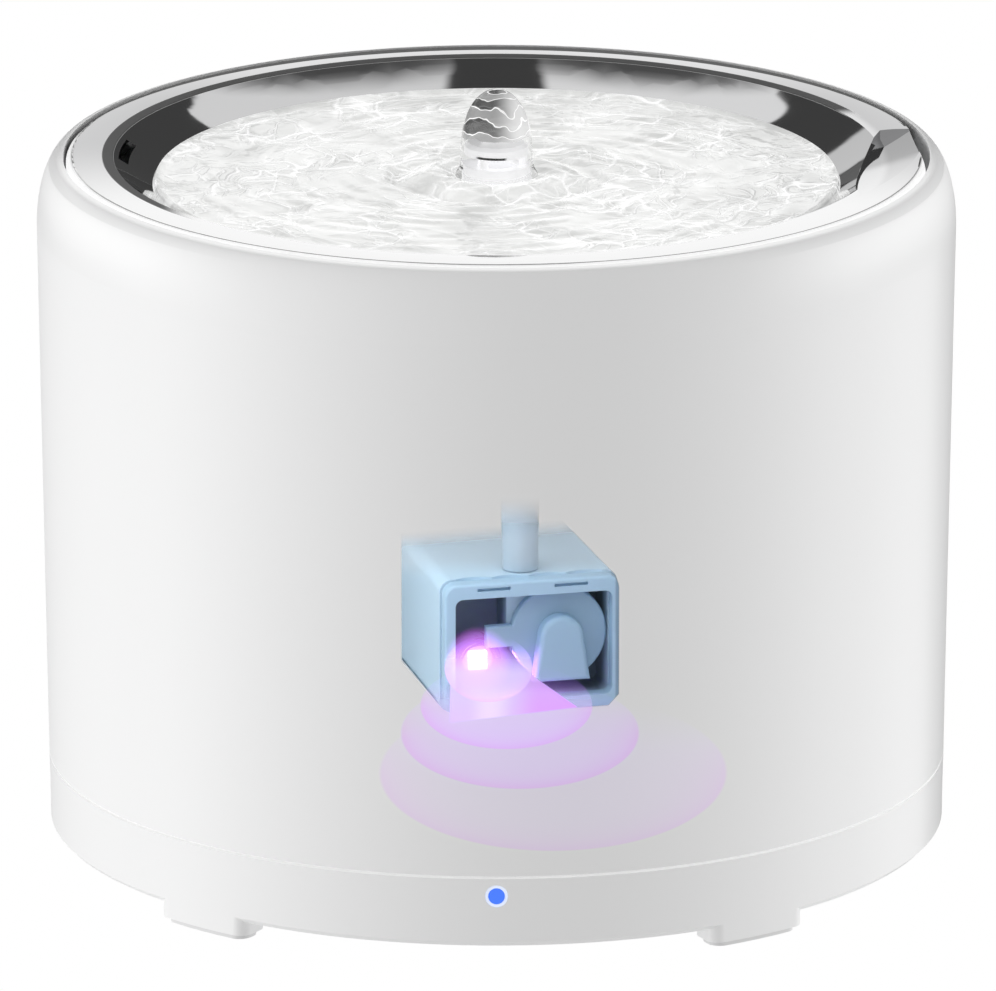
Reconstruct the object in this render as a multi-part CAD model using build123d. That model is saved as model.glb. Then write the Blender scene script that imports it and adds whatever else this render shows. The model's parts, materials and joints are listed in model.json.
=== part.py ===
from build123d import *
import os
from math import cos, radians, sin, sqrt

# Pet water fountain. Millimetres, +Z up, front towards -Y.
# The origin is on the fountain's axis, at the height of the feet's soles.

# ---------------------------------------------------------------- driving sizes
WALL = 2.4
FLOOR = 2.2
BOARD = 1.6
SEAT_GAP = 0.3
SIDE_GAP = 0.3

# Base
FOOT_HEIGHT = 4.0
FOOT_DEPTH = 8.5
FOOT_SPAN = 14.5
FOOT_CLOCK = -92.7
FOOT_SPREAD = 38.3
FOOT_CORNER = 2.6
PAD_THICKNESS = 1.1
PAD_INSET = 1.0
BASE_TAPER = 0.25
BASE_EDGE = 1.0
SKIRT_HEIGHT = 14.35
SPIGOT_RISE = 1.2
PLATEAU_RADIUS = 70.0
PLATEAU_RISE = 5.4
COVER_THICKNESS = 2.2

# Tank
SEAM_GAP = 0.5
TANK_HEIGHT = 125.45
TANK_WIDE_RADIUS = 93.7
TANK_TAPER = 1.75
SHOULDER_WIDTH = 5.4
SHOULDER_DROP = 14.0
LEDGE_DROP = 9.0
LEDGE_WIDTH = 4.0
LEDGE_THICKNESS = 2.5
NEST_CLEARANCE = 0.5
RIB_HEIGHT = 2.5
RIB_THICKNESS = 1.4

# Filter basket and cartridge
BASKET_FLANGE = 1.8
BASKET_WALL = 1.8
BASKET_INSET = 6.0
SHELF_DROP = 13.4
POCKET_RADIUS = 60.0
POCKET_DEPTH = 18.0
PIPE_BORE = 5.4
PIPE_WALL = 2.0
PIPE_BELOW_POCKET = 12.0
PIPE_ABOVE_SHELF = 5.0
DRAIN_COUNT = 12
DRAIN_WIDTH = 3.0
DRAIN_LENGTH = 20.0
CARTRIDGE_HEIGHT = 17.0
CARTRIDGE_WALL = 1.6
CARTRIDGE_SPOKES = 6
SPOKE_WIDTH = 2.0
FELT_THICKNESS = 2.5

# Drinking tray
SHEET = 0.8
RIM_GAP = 0.6
RIM_ROLL = 1.5
RIM_LIP = 1.2
CREST_INSET = 4.5
CREST_RISE = 0.3
FLANGE_WIDTH = 5.0
DISH_RADIUS = 75.0
DISH_DEPTH = 13.0
DISH_SPAN = 42.2
WATER_HOLE_RADIUS = 6.0
SCOOP_NEAR_ANGLE = -24.5
SCOOP_FAR_ANGLE = 12.8
SCOOP_END_INSET = 2.7
SCOOP_REACH = 4.4
SCOOP_OVERLAP = 1.4
SCOOP_FLOOR = 3.3
SCOOP_FALL = 0.25
FLAT_ANGLE = 5.4
FLAT_CUT = 1.8
SLOT_ANGLE = 175.0
SLOT_LENGTH = 15.0
SLOT_HEIGHT = 2.0
SLOT_INSET = 2.2
FRAME_WALL = 2.0
FRAME_FOOT = 6.3
FRAME_FOOT_HEIGHT = 2.0

# Outlet nozzle
STEM_RADIUS = 5.0
STEM_BORE = 3.4
STEM_DROP = 14.0
COLLAR_RADIUS = 6.2
COLLAR_TOP = -2.2
CAP_RADIUS = 5.8
CAP_GAP = 2.2
CAP_THICKNESS = 2.4
CAP_EDGE = 0.7
PILLAR_RADIUS = 0.8
GROMMET_FLANGE = 0.9
GROMMET_RADIUS = 7.6

# Pump, in its own frame: origin under the spout, front towards -Y
PUMP_X = 4.9
PUMP_TURN = 13.5
PUMP_WIDTH = 37.5
PUMP_DEPTH = 41.0
PUMP_HEIGHT = 28.5
PUMP_CORNER = 3.2
PUMP_EDGE = 2.6
PUMP_OFFSET_X = 0.6
SPOUT_TO_FRONT = 8.3
FRAME_DEPTH = 3.2
FRAME_JOINT = 0.4
BAY_BAR = 2.0
FRAME_LEFT = 2.5
FRAME_RIGHT = 1.9
FRAME_TOP = 3.4
FRAME_BOTTOM = 3.0
FRAME_CORNER = 1.6
FRAME_EDGE = 0.6
FRONT_BAY_DEPTH = 10.6
BAY_WALL = 1.5
BASE_PLATE = 1.5
WAVE_COUNT = 4
WAVE_DEPTH = 1.0
LATCH_LENGTH = 7.0
LATCH_WIDTH = 0.7
LATCH_DEPTH = 1.2
LATCH_DROP = 1.3
LATCH_SPACING = 16.3

ROTOR_X = 6.95
ROTOR_Z = 15.6
COVER_RADIUS = 10.1
COVER_DISC = 1.8
CHAMBER_RADIUS = 8.6
CHAMBER_WALL = 1.5
CHAMBER_FRONT = 5.6
IMPELLER_RADIUS = 7.9
IMPELLER_LENGTH = 4.5
VANE_COUNT = 6
VANE_THICKNESS = 1.0
WELL_RADIUS = 4.4
WELL_LENGTH = 13.0
WELL_WALL = 1.0
MAGNET_RADIUS = 3.9
MAGNET_LENGTH = 11.0
SLEEVE_RADIUS = 2.0
SHAFT_RADIUS = 0.75
SHAFT_CLEARANCE = 0.05
SHAFT_END_GAP = 0.2
BUSH_RADIUS = 2.4
BUSH_LENGTH = 2.0
HOOD_WIDTH = 12.0
HOOD_TOP_WIDTH = 9.2
HOOD_BELOW = 9.4
HOOD_ABOVE = 4.4
HOOD_DEPTH = 3.4
HOOD_WALL = 1.2
HOOD_EDGE = 1.1
COVER_EDGE = 0.5
LUG_REACH = 5.2
LUG_WIDTH = 4.6
INTAKE_HOLES = 5
INTAKE_HOLE_RADIUS = 1.1
INTAKE_CIRCLE = 3.3

SPOUT_RADIUS = 2.9
SPOUT_BORE = 2.1
SPOUT_HEIGHT = 7.0
RISER_RADIUS = 3.7
RISER_STRAIGHT = 10.0
RISER_SHIFT_HEIGHT = 16.0
RISER_COLLAR = 5.1
RISER_COLLAR_LENGTH = 3.0
RISER_COLLAR_RISE = 3.0
RISER_COLLAR_BITE = 0.4
RISER_OVERLAP = 10.0

STATOR_OUTER = 10.4
STATOR_YOKE = 1.5
POLE_WIDTH = 2.6
POLE_COUNT = 4
STATOR_LENGTH = 8.0
COIL_TURNS = 1.5
COIL_INSET = 1.0
RECEIVE_RADIUS = 11.4
RECEIVE_BORE = 5.0
COIL_HEIGHT = 1.6
FERRITE_HEIGHT = 0.8
TRANSMIT_RADIUS = 24.0
TRANSMIT_BORE = 9.0

UV_X = -9.15
UV_Z = 9.7
UV_WINDOW_RADIUS = 4.9
UV_WINDOW_WALL = 0.7
UV_WINDOW_LENGTH = 8.2
UV_LAMP_SIDE = 3.7
UV_LAMP_THICKNESS = 1.2
UV_STAND_RADIUS = 3.3
UV_STAND_LENGTH = 5.3

# Electrics in the base
PILOT_HEIGHT = 10.7
PILOT_RADIUS = 1.65
PILOT_RING = 2.3
PILOT_LENGTH = 6.5
PILOT_RECESS = 0.1
PILOT_LAMP_WIDTH = 3.2
PILOT_LAMP_HEIGHT = 2.8
PILOT_LAMP_DEPTH = 2.1
SCREW_INSET = 1.6
SCREW_COUNT = 4
SCREW_RADIUS = 1.3
SCREW_HEAD = 3.0
SCREW_LENGTH = 14.0
SCREW_TIP_GAP = 2.0
POST_RADIUS = 4.0
CONTROL_WIDTH = 46.0
CONTROL_DEPTH = 30.0
CONTROL_RISE = 2.6
BOARD_POST_RADIUS = 2.2
BOARD_POST_INSET = 4.0
CHIP_SIDE = 8.0
CHIP_HEIGHT = 1.4
SOCKET_WIDTH = 8.94
SOCKET_HEIGHT = 3.26
SOCKET_LENGTH = 7.4
SOCKET_WALL = 0.3
TONGUE_WIDTH = 6.7
TONGUE_THICKNESS = 0.7
PLUG_RECESS_WIDTH = 13.0
PLUG_RECESS_HEIGHT = 7.2
PLUG_RECESS_DEPTH = 1.2
LED_BOARD_WIDTH = 12.0
LED_RIB_GRIP = 1.0
LED_RIB_WALL = 1.2
LED_RIB_WIDTH = 3.0
LED_RIB_HEIGHT = 8.0

# ---------------------------------------------------------------- radii, from the widest inwards
SEAM_RADIUS = TANK_WIDE_RADIUS - TANK_TAPER
BASE_BOTTOM_RADIUS = SEAM_RADIUS - BASE_TAPER
BASE_INNER_RADIUS = BASE_BOTTOM_RADIUS - WALL
SCREW_CIRCLE = PLATEAU_RADIUS - WALL - POST_RADIUS - SCREW_INSET
MOUTH_RADIUS = TANK_WIDE_RADIUS - SHOULDER_WIDTH
LEDGE_RADIUS = MOUTH_RADIUS - LEDGE_WIDTH
BASKET_WALL_RADIUS = MOUTH_RADIUS - BASKET_INSET
RIM_RADIUS = MOUTH_RADIUS - RIM_GAP
CREST_RADIUS = RIM_RADIUS - CREST_INSET
CREASE_RADIUS = CREST_RADIUS - FLANGE_WIDTH
DISH_FLAT_RADIUS = CREASE_RADIUS - DISH_SPAN
SLOT_RADIUS = CREASE_RADIUS - SLOT_INSET
SCOOP_END_RADIUS = CREST_RADIUS - SCOOP_END_INSET
SCOOP_INNER_RADIUS = CREASE_RADIUS - SCOOP_REACH
SCOOP_OUTER_RADIUS = CREST_RADIUS + SCOOP_OVERLAP

# ---------------------------------------------------------------- heights
SKIRT_TOP = FOOT_HEIGHT + SKIRT_HEIGHT
DECK_TOP = SKIRT_TOP + SPIGOT_RISE
PLATEAU_TOP = DECK_TOP + PLATEAU_RISE
COVER_TOP = FOOT_HEIGHT + COVER_THICKNESS
TANK_BOTTOM = SKIRT_TOP + SEAM_GAP
TANK_TOP = TANK_BOTTOM + TANK_HEIGHT
LOW_FLOOR = DECK_TOP + SEAT_GAP
TANK_FLOOR = PLATEAU_TOP + SEAT_GAP + FLOOR
LEDGE = TANK_TOP - LEDGE_DROP
FLANGE_BOTTOM = LEDGE + SEAT_GAP
FLANGE_TOP = FLANGE_BOTTOM + BASKET_FLANGE
SHELF_TOP = FLANGE_TOP - SHELF_DROP
POCKET_FLOOR = SHELF_TOP - POCKET_DEPTH
PIPE_BOTTOM = POCKET_FLOOR - PIPE_BELOW_POCKET
PIPE_TOP = SHELF_TOP + PIPE_ABOVE_SHELF
DISH_FLOOR = TANK_TOP - DISH_DEPTH
PUMP_BOTTOM = TANK_FLOOR + SEAT_GAP
PUMP_FRONT = -SPOUT_TO_FRONT
PUMP_BACK = PUMP_FRONT + PUMP_DEPTH
BAY_BACK = PUMP_FRONT + FRAME_DEPTH + FRONT_BAY_DEPTH
CHAMBER_MOUTH = PUMP_FRONT + CHAMBER_FRONT
HOUSING_FRONT = PUMP_FRONT + FRAME_DEPTH + FRAME_JOINT
INDICATOR_Z = FOOT_HEIGHT + PILOT_HEIGHT
SOCKET_Z = COVER_TOP + CONTROL_RISE + BOARD + SOCKET_HEIGHT / 2


# ---------------------------------------------------------------- helpers
def ring(points):
    """Solid of revolution about the fountain's axis from (radius, height) corners."""
    outline = Plane.XZ * make_face(Polyline(*points, close=True))
    return revolve(outline, Axis.Z)


def turned(edges):
    """Solid of revolution about the fountain's axis from joined profile edges."""
    return revolve(Plane.XZ * make_face(Curve() + edges), Axis.Z)


def tube(outer, inner, low, high):
    """Upright tube about the fountain's axis."""
    return ring([(inner, low), (outer, low), (outer, high), (inner, high)])


def disc(radius, low, high):
    """Upright cylinder about the fountain's axis."""
    return Pos(0, 0, low) * Cylinder(radius, high - low, align=(Align.CENTER, Align.CENTER, Align.MIN))


def block(low, high):
    """Box between two corners."""
    size = [b - a for a, b in zip(low, high)]
    return Pos(*low) * Box(*size, align=(Align.MIN, Align.MIN, Align.MIN))


def facing(x, z, y):
    """Plane on the pump's front side at depth y, looking out towards -Y."""
    return Plane(origin=(x, y, z), x_dir=(1, 0, 0), z_dir=(0, -1, 0))


def rod(x, z, front, back, radius):
    """Cylinder along Y between two depths."""
    profile = facing(x, z, back) * Circle(radius)
    return extrude(profile, back - front)


def pump_place():
    """Where the pump's own frame stands in the tank."""
    return Pos(PUMP_X, 0, PUMP_BOTTOM) * Rot(0, 0, PUMP_TURN)


def base_radius(height):
    """Outer radius of the base and tank side at a height."""
    if height <= SKIRT_TOP:
        share = (height - FOOT_HEIGHT) / SKIRT_HEIGHT
        return BASE_BOTTOM_RADIUS + share * (SEAM_RADIUS - BASE_BOTTOM_RADIUS)
    share = (height - TANK_BOTTOM) / (TANK_HEIGHT - SHOULDER_DROP)
    return SEAM_RADIUS + share * (TANK_WIDE_RADIUS - SEAM_RADIUS)


# ---------------------------------------------------------------- base
def screw_places(height):
    return [Pos(0, 0, height) * place for place in PolarLocations(SCREW_CIRCLE, SCREW_COUNT, start_angle=45)]


def base_shell():
    inner_top = DECK_TOP - WALL
    spigot = SEAM_RADIUS - WALL - SIDE_GAP
    shell = ring(
        [
            (BASE_INNER_RADIUS, FOOT_HEIGHT),
            (BASE_BOTTOM_RADIUS - BASE_EDGE, FOOT_HEIGHT),
            (BASE_BOTTOM_RADIUS, FOOT_HEIGHT + BASE_EDGE),
            (SEAM_RADIUS, SKIRT_TOP),
            (spigot, SKIRT_TOP),
            (spigot, DECK_TOP),
            (PLATEAU_RADIUS, DECK_TOP),
            (PLATEAU_RADIUS, PLATEAU_TOP),
            (0, PLATEAU_TOP),
            (0, PLATEAU_TOP - WALL),
            (PLATEAU_RADIUS - WALL, PLATEAU_TOP - WALL),
            (PLATEAU_RADIUS - WALL, inner_top),
            (BASE_INNER_RADIUS, inner_top),
        ]
    )
    post = Cylinder(POST_RADIUS, PLATEAU_TOP - WALL - COVER_TOP, align=(Align.CENTER, Align.CENTER, Align.MIN))
    pilot = Cylinder(
        SCREW_RADIUS + SHAFT_CLEARANCE, SCREW_LENGTH, align=(Align.CENTER, Align.CENTER, Align.MIN)
    )
    for place in screw_places(COVER_TOP):
        shell += place * post
        shell -= place * pilot
    lens_hole = rod(0, INDICATOR_Z, -TANK_WIDE_RADIUS, -BASE_INNER_RADIUS + WALL, PILOT_RING)
    shell -= lens_hole
    feet = [foot_form(angle, 0, PAD_THICKNESS, COVER_TOP) for angle in foot_angles()]
    return shell + feet - plug_recess() - socket_hole()


def foot_angles():
    """Where the feet stand: a front pair and the same pair half a turn on."""
    return [FOOT_CLOCK + side * FOOT_SPREAD + turn for turn in (0, 180) for side in (1, -1)]


def foot_form(angle, grow, low, high):
    """Curved block with rounded ends under the skirt, grown all round by a clearance."""
    outer = BASE_BOTTOM_RADIUS + grow
    inner = BASE_BOTTOM_RADIUS - FOOT_DEPTH - grow
    half = radians(FOOT_SPAN / 2) + grow / BASE_BOTTOM_RADIUS
    outline = (Circle(outer) - Circle(inner)) & wedge(half, 2 * outer)
    outline = fillet(outline.vertices(), FOOT_CORNER)
    return Rot(0, 0, angle) * Pos(0, 0, low) * extrude(outline, high - low)


def wedge(half, reach):
    """Triangle from the axis that spans an angle either side of +X."""
    corners = [(0, 0), (reach * cos(half), -reach * sin(half)), (reach * cos(half), reach * sin(half))]
    return make_face(Polyline(*corners, close=True))


def plug_recess():
    """Shallow recess in the rear of the skirt round the power inlet."""
    outline = SlotOverall(PLUG_RECESS_WIDTH, PLUG_RECESS_HEIGHT)
    start = base_radius(SOCKET_Z) - PLUG_RECESS_DEPTH
    plane = Plane(origin=(0, start, SOCKET_Z), x_dir=(-1, 0, 0), z_dir=(0, 1, 0))
    return extrude(plane * outline, TANK_WIDE_RADIUS - start)


def socket_outline(grow):
    width = SOCKET_WIDTH + 2 * grow
    height = SOCKET_HEIGHT + 2 * grow
    return SlotOverall(width, height)


def socket_front():
    return base_radius(SOCKET_Z) - PLUG_RECESS_DEPTH


def socket_plane():
    """Plane at the inlet's mouth, looking back into the base."""
    return Plane(origin=(0, socket_front(), SOCKET_Z), x_dir=(1, 0, 0), z_dir=(0, -1, 0))


def socket_hole():
    return extrude(socket_plane() * socket_outline(SIDE_GAP / 2), 2 * WALL)


def power_socket():
    shell = extrude(socket_plane() * socket_outline(0), SOCKET_LENGTH)
    bore = extrude(socket_plane() * socket_outline(-SOCKET_WALL), SOCKET_LENGTH - SOCKET_WALL)
    return shell - bore


def socket_tongue():
    back = socket_front() - SOCKET_LENGTH + SOCKET_WALL
    front = socket_front() - SOCKET_WALL
    half = TONGUE_THICKNESS / 2
    return block((-TONGUE_WIDTH / 2, back, SOCKET_Z - half), (TONGUE_WIDTH / 2, front, SOCKET_Z + half))


def control_back():
    """Rear edge of the control board, set so that its corners clear the skirt."""
    return sqrt(BASE_INNER_RADIUS**2 - CONTROL_WIDTH**2 / 4) - SIDE_GAP


def chip():
    return Box(CHIP_SIDE, CHIP_SIDE, CHIP_HEIGHT, align=(Align.CENTER, Align.CENTER, Align.MIN))


def control_board():
    """Board with a row of three chips along its front half."""
    back = control_back()
    bottom = COVER_TOP + CONTROL_RISE
    board = block(
        (-CONTROL_WIDTH / 2, back - CONTROL_DEPTH, bottom), (CONTROL_WIDTH / 2, back, bottom + BOARD)
    )
    row = Pos(0, back - CONTROL_DEPTH * 2 / 3, bottom + BOARD)
    return board + [row * spot * chip() for spot in GridLocations(CONTROL_WIDTH / 3, 0, 3, 1)]


def base_cover():
    cover = disc(BASE_INNER_RADIUS - SIDE_GAP, FOOT_HEIGHT, COVER_TOP)
    head = Pos(0, 0, FOOT_HEIGHT) * Cone(
        SCREW_HEAD + SIDE_GAP / 2,
        SCREW_RADIUS + SIDE_GAP / 2,
        COVER_THICKNESS,
        align=(Align.CENTER, Align.CENTER, Align.MIN),
    )
    for place in screw_places(0):
        cover -= place * head
    cover -= [foot_form(angle, SIDE_GAP, FOOT_HEIGHT - 1, COVER_TOP + 1) for angle in foot_angles()]
    return cover + board_posts() + lamp_board_ribs()


def board_posts():
    """Four short posts that carry the control board."""
    middle = control_back() - CONTROL_DEPTH / 2
    spots = GridLocations(CONTROL_WIDTH - 2 * BOARD_POST_INSET, CONTROL_DEPTH - 2 * BOARD_POST_INSET, 2, 2)
    post = Cylinder(BOARD_POST_RADIUS, CONTROL_RISE, align=(Align.CENTER, Align.CENTER, Align.MIN))
    posts = [Pos(0, middle, COVER_TOP) * spot * post for spot in spots]
    return Part() + posts


def lamp_board_depth():
    """Front face of the pilot lamp's little board."""
    return -base_radius(INDICATOR_Z) + PILOT_LENGTH + SIDE_GAP + PILOT_LAMP_DEPTH


def lamp_board_ribs():
    """Two grooved ribs that hold the pilot lamp's board upright."""
    face = lamp_board_depth()
    middle = face + BOARD / 2
    spacing = LED_BOARD_WIDTH - 2 * LED_RIB_GRIP + LED_RIB_WIDTH
    depth = BOARD + 2 * LED_RIB_WALL
    rib = Box(LED_RIB_WIDTH, depth, LED_RIB_HEIGHT, align=(Align.CENTER, Align.CENTER, Align.MIN))
    ribs = Part() + [Pos(side * spacing / 2, middle, COVER_TOP) * rib for side in (-1, 1)]
    groove = block(
        (-LED_BOARD_WIDTH / 2 - SIDE_GAP, face - SIDE_GAP / 3, COVER_TOP),
        (LED_BOARD_WIDTH / 2 + SIDE_GAP, face + BOARD + SIDE_GAP / 3, COVER_TOP + LED_RIB_HEIGHT + 1),
    )
    return ribs - groove


def foot_pad(angle):
    """Thin rubber sole under one foot."""
    return foot_form(angle, -PAD_INSET, 0, PAD_THICKNESS)


def cover_screws():
    head = Cone(SCREW_HEAD, SCREW_RADIUS, COVER_THICKNESS, align=(Align.CENTER, Align.CENTER, Align.MIN))
    shank = Cylinder(
        SCREW_RADIUS, COVER_THICKNESS + SCREW_LENGTH - SCREW_TIP_GAP, align=(Align.CENTER, Align.CENTER, Align.MIN)
    )
    return [place * (head + shank) for place in screw_places(FOOT_HEIGHT)]


def coil_centre():
    """Middle of the pump's receiving coil, seen from above, in the fountain's frame."""
    middle = pump_place() * Pos(PUMP_OFFSET_X, coil_depth(), 0)
    return middle.position.X, middle.position.Y


def coil_depth():
    return (BAY_BACK + BAY_WALL + PUMP_BACK - BAY_WALL) / 2


def transmit_coil():
    x, y = coil_centre()
    top = PLATEAU_TOP - WALL
    return Pos(x, y, 0) * tube(TRANSMIT_RADIUS, TRANSMIT_BORE, top - COIL_HEIGHT, top)


def transmit_ferrite():
    x, y = coil_centre()
    top = PLATEAU_TOP - WALL - COIL_HEIGHT
    return Pos(x, y, 0) * disc(TRANSMIT_RADIUS + 2, top - FERRITE_HEIGHT, top)


def pilot_lens():
    front = -base_radius(INDICATOR_Z)
    return rod(0, INDICATOR_Z, front, front + PILOT_LENGTH, PILOT_RADIUS)


def pilot_ring():
    front = -base_radius(INDICATOR_Z)
    back = -BASE_INNER_RADIUS + WALL
    outer = rod(0, INDICATOR_Z, front + PILOT_RECESS, back, PILOT_RING - SHAFT_CLEARANCE)
    return outer - rod(0, INDICATOR_Z, front - 1, back + 1, PILOT_RADIUS + SHAFT_CLEARANCE)


def pilot_lamp():
    front = -base_radius(INDICATOR_Z) + PILOT_LENGTH + SIDE_GAP
    back = lamp_board_depth()
    half_width = PILOT_LAMP_WIDTH / 2
    half_height = PILOT_LAMP_HEIGHT / 2
    return block((-half_width, front, INDICATOR_Z - half_height), (half_width, back, INDICATOR_Z + half_height))


def pilot_board():
    face = lamp_board_depth()
    half = LED_BOARD_WIDTH / 2
    top = DECK_TOP - WALL - 4 * SIDE_GAP
    return block((-half, face, COVER_TOP + SIDE_GAP / 3), (half, face + BOARD, top))


# ---------------------------------------------------------------- tank
def tank_shell():
    wide = TANK_TOP - SHOULDER_DROP
    inner_top = TANK_WIDE_RADIUS - WALL
    cone_end = LEDGE - LEDGE_THICKNESS - (inner_top - LEDGE_RADIUS)
    inner_low = SEAM_RADIUS - WALL
    step = PLATEAU_RADIUS + NEST_CLEARANCE
    corners = [
        (MOUTH_RADIUS, TANK_TOP),
        (MOUTH_RADIUS, LEDGE),
        (LEDGE_RADIUS, LEDGE),
        (LEDGE_RADIUS, LEDGE - LEDGE_THICKNESS),
        (inner_top, cone_end),
        (inner_low, LOW_FLOOR + FLOOR),
        (step + WALL, LOW_FLOOR + FLOOR),
        (step + WALL, TANK_FLOOR),
        (0, TANK_FLOOR),
        (0, TANK_FLOOR - FLOOR),
        (step, TANK_FLOOR - FLOOR),
        (step, LOW_FLOOR),
        (inner_low, LOW_FLOOR),
        (inner_low, TANK_BOTTOM),
        (SEAM_RADIUS, TANK_BOTTOM),
        (TANK_WIDE_RADIUS, wide),
    ]
    shoulder = EllipticalCenterArc(
        (MOUTH_RADIUS, wide), TANK_WIDE_RADIUS - MOUTH_RADIUS, SHOULDER_DROP, start_angle=0, arc_size=90
    )
    return turned([Polyline(*corners), shoulder]) + pump_rib()


def pump_rib():
    """Low rib on the tank's floor round the sides and back of the pump."""
    middle = (PUMP_FRONT + PUMP_BACK) / 2
    grow = 2 * (SIDE_GAP + RIB_THICKNESS)
    hollow = 2 * SIDE_GAP
    outer = RectangleRounded(PUMP_WIDTH + grow, PUMP_DEPTH + grow, PUMP_CORNER + grow / 2)
    inner = RectangleRounded(PUMP_WIDTH + hollow, PUMP_DEPTH + hollow, PUMP_CORNER)
    height = RIB_HEIGHT + FLOOR / 2
    rib = extrude(outer - inner, height)
    open_front = block(
        (-PUMP_WIDTH, -PUMP_DEPTH, -1), (PUMP_WIDTH, -PUMP_DEPTH / 2 + FRAME_DEPTH + PUMP_CORNER, height + 1)
    )
    sink = -SEAT_GAP - FLOOR / 2
    return pump_place() * Pos(PUMP_OFFSET_X, middle, sink) * (rib - open_front)


# ---------------------------------------------------------------- filter basket
def filter_basket():
    flange_outer = MOUTH_RADIUS - SIDE_GAP
    wall_in = BASKET_WALL_RADIUS - BASKET_WALL
    pocket_out = POCKET_RADIUS + BASKET_WALL
    basket = ring(
        [
            (flange_outer, FLANGE_BOTTOM),
            (flange_outer, FLANGE_TOP),
            (wall_in, FLANGE_TOP),
            (wall_in, SHELF_TOP),
            (POCKET_RADIUS, SHELF_TOP),
            (POCKET_RADIUS, POCKET_FLOOR),
            (PIPE_BORE + PIPE_WALL, POCKET_FLOOR),
            (PIPE_BORE + PIPE_WALL, PIPE_TOP),
            (PIPE_BORE, PIPE_TOP),
            (PIPE_BORE, PIPE_BOTTOM),
            (PIPE_BORE + PIPE_WALL, PIPE_BOTTOM),
            (PIPE_BORE + PIPE_WALL, POCKET_FLOOR - BASKET_WALL),
            (pocket_out, POCKET_FLOOR - BASKET_WALL),
            (pocket_out, SHELF_TOP - BASKET_WALL),
            (BASKET_WALL_RADIUS, SHELF_TOP - BASKET_WALL),
            (BASKET_WALL_RADIUS, FLANGE_BOTTOM),
        ]
    )
    middle = (PIPE_BORE + PIPE_WALL + POCKET_RADIUS) / 2
    slot = Pos(0, 0, POCKET_FLOOR) * extrude(SlotOverall(DRAIN_LENGTH, DRAIN_WIDTH), 2 * BASKET_WALL, both=True)
    return basket - [place * slot for place in PolarLocations(middle, DRAIN_COUNT)]


def cartridge_outer():
    return POCKET_RADIUS - SIDE_GAP


def cartridge_bore():
    return PIPE_BORE + PIPE_WALL + SIDE_GAP


def cartridge_bottom():
    return POCKET_FLOOR + SEAT_GAP


def cartridge_frame():
    bottom = cartridge_bottom()
    top = bottom + CARTRIDGE_HEIGHT
    outer = tube(cartridge_outer(), cartridge_outer() - CARTRIDGE_WALL, bottom, top)
    inner = tube(cartridge_bore() + CARTRIDGE_WALL, cartridge_bore(), bottom, top)
    start = cartridge_bore() + CARTRIDGE_WALL / 2
    reach = cartridge_outer() - CARTRIDGE_WALL / 2
    spoke = block((start, -SPOKE_WIDTH / 2, bottom), (reach, SPOKE_WIDTH / 2, bottom + CARTRIDGE_WALL))
    spokes = [place * spoke for place in PolarLocations(0, CARTRIDGE_SPOKES)]
    return outer + inner + spokes


def filter_media():
    low = cartridge_bottom() + CARTRIDGE_WALL
    high = cartridge_bottom() + CARTRIDGE_HEIGHT - FELT_THICKNESS
    return tube(cartridge_outer() - CARTRIDGE_WALL, cartridge_bore() + CARTRIDGE_WALL, low, high)


def filter_felt():
    high = cartridge_bottom() + CARTRIDGE_HEIGHT
    outer = cartridge_outer() - CARTRIDGE_WALL
    return tube(outer, cartridge_bore() + CARTRIDGE_WALL, high - FELT_THICKNESS, high)


# ---------------------------------------------------------------- drinking tray
def crest_arc_radius():
    return (FLANGE_WIDTH**2 + CREST_RISE**2) / (2 * CREST_RISE)


def rim_height(radius, drop):
    """Height of the rim's upper face at a radius, or of one that lies a drop below it."""
    arc = crest_arc_radius() - drop
    return TANK_TOP + CREST_RISE - crest_arc_radius() + sqrt(arc**2 - (radius - CREST_RADIUS) ** 2)


def dish_end():
    """Radius where the dish's arc has risen to the crease's height."""
    return DISH_FLAT_RADIUS + sqrt(DISH_RADIUS**2 - (DISH_RADIUS - DISH_DEPTH) ** 2)


def dish_point(radius, drop):
    """Point of the dish below the given radius of its upper face, moved square to it by a drop."""
    lean = (radius - DISH_FLAT_RADIUS) / DISH_RADIUS
    centre = DISH_FLOOR + DISH_RADIUS
    arc = DISH_RADIUS + drop
    return (DISH_FLAT_RADIUS + arc * lean, centre - arc * sqrt(1 - lean**2))


def tray_upper_edges():
    """Upper face of the tray from the flat floor out to the rolled rim."""
    end = dish_end()
    middle = (DISH_FLAT_RADIUS + end) / 2
    roll_start = RIM_RADIUS - RIM_ROLL
    crease = (end, TANK_TOP)
    shoulder = (roll_start, rim_height(roll_start, 0))
    lip_top = shoulder[1] - RIM_ROLL
    bend = (RIM_RADIUS - RIM_ROLL * (1 - cos(radians(45))), lip_top + RIM_ROLL * sin(radians(45)))
    return [
        ThreePointArc(dish_point(DISH_FLAT_RADIUS, 0), dish_point(middle, 0), crease),
        ThreePointArc(crease, (CREST_RADIUS, TANK_TOP + CREST_RISE), shoulder),
        ThreePointArc(shoulder, bend, (RIM_RADIUS, lip_top)),
    ], lip_top


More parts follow.
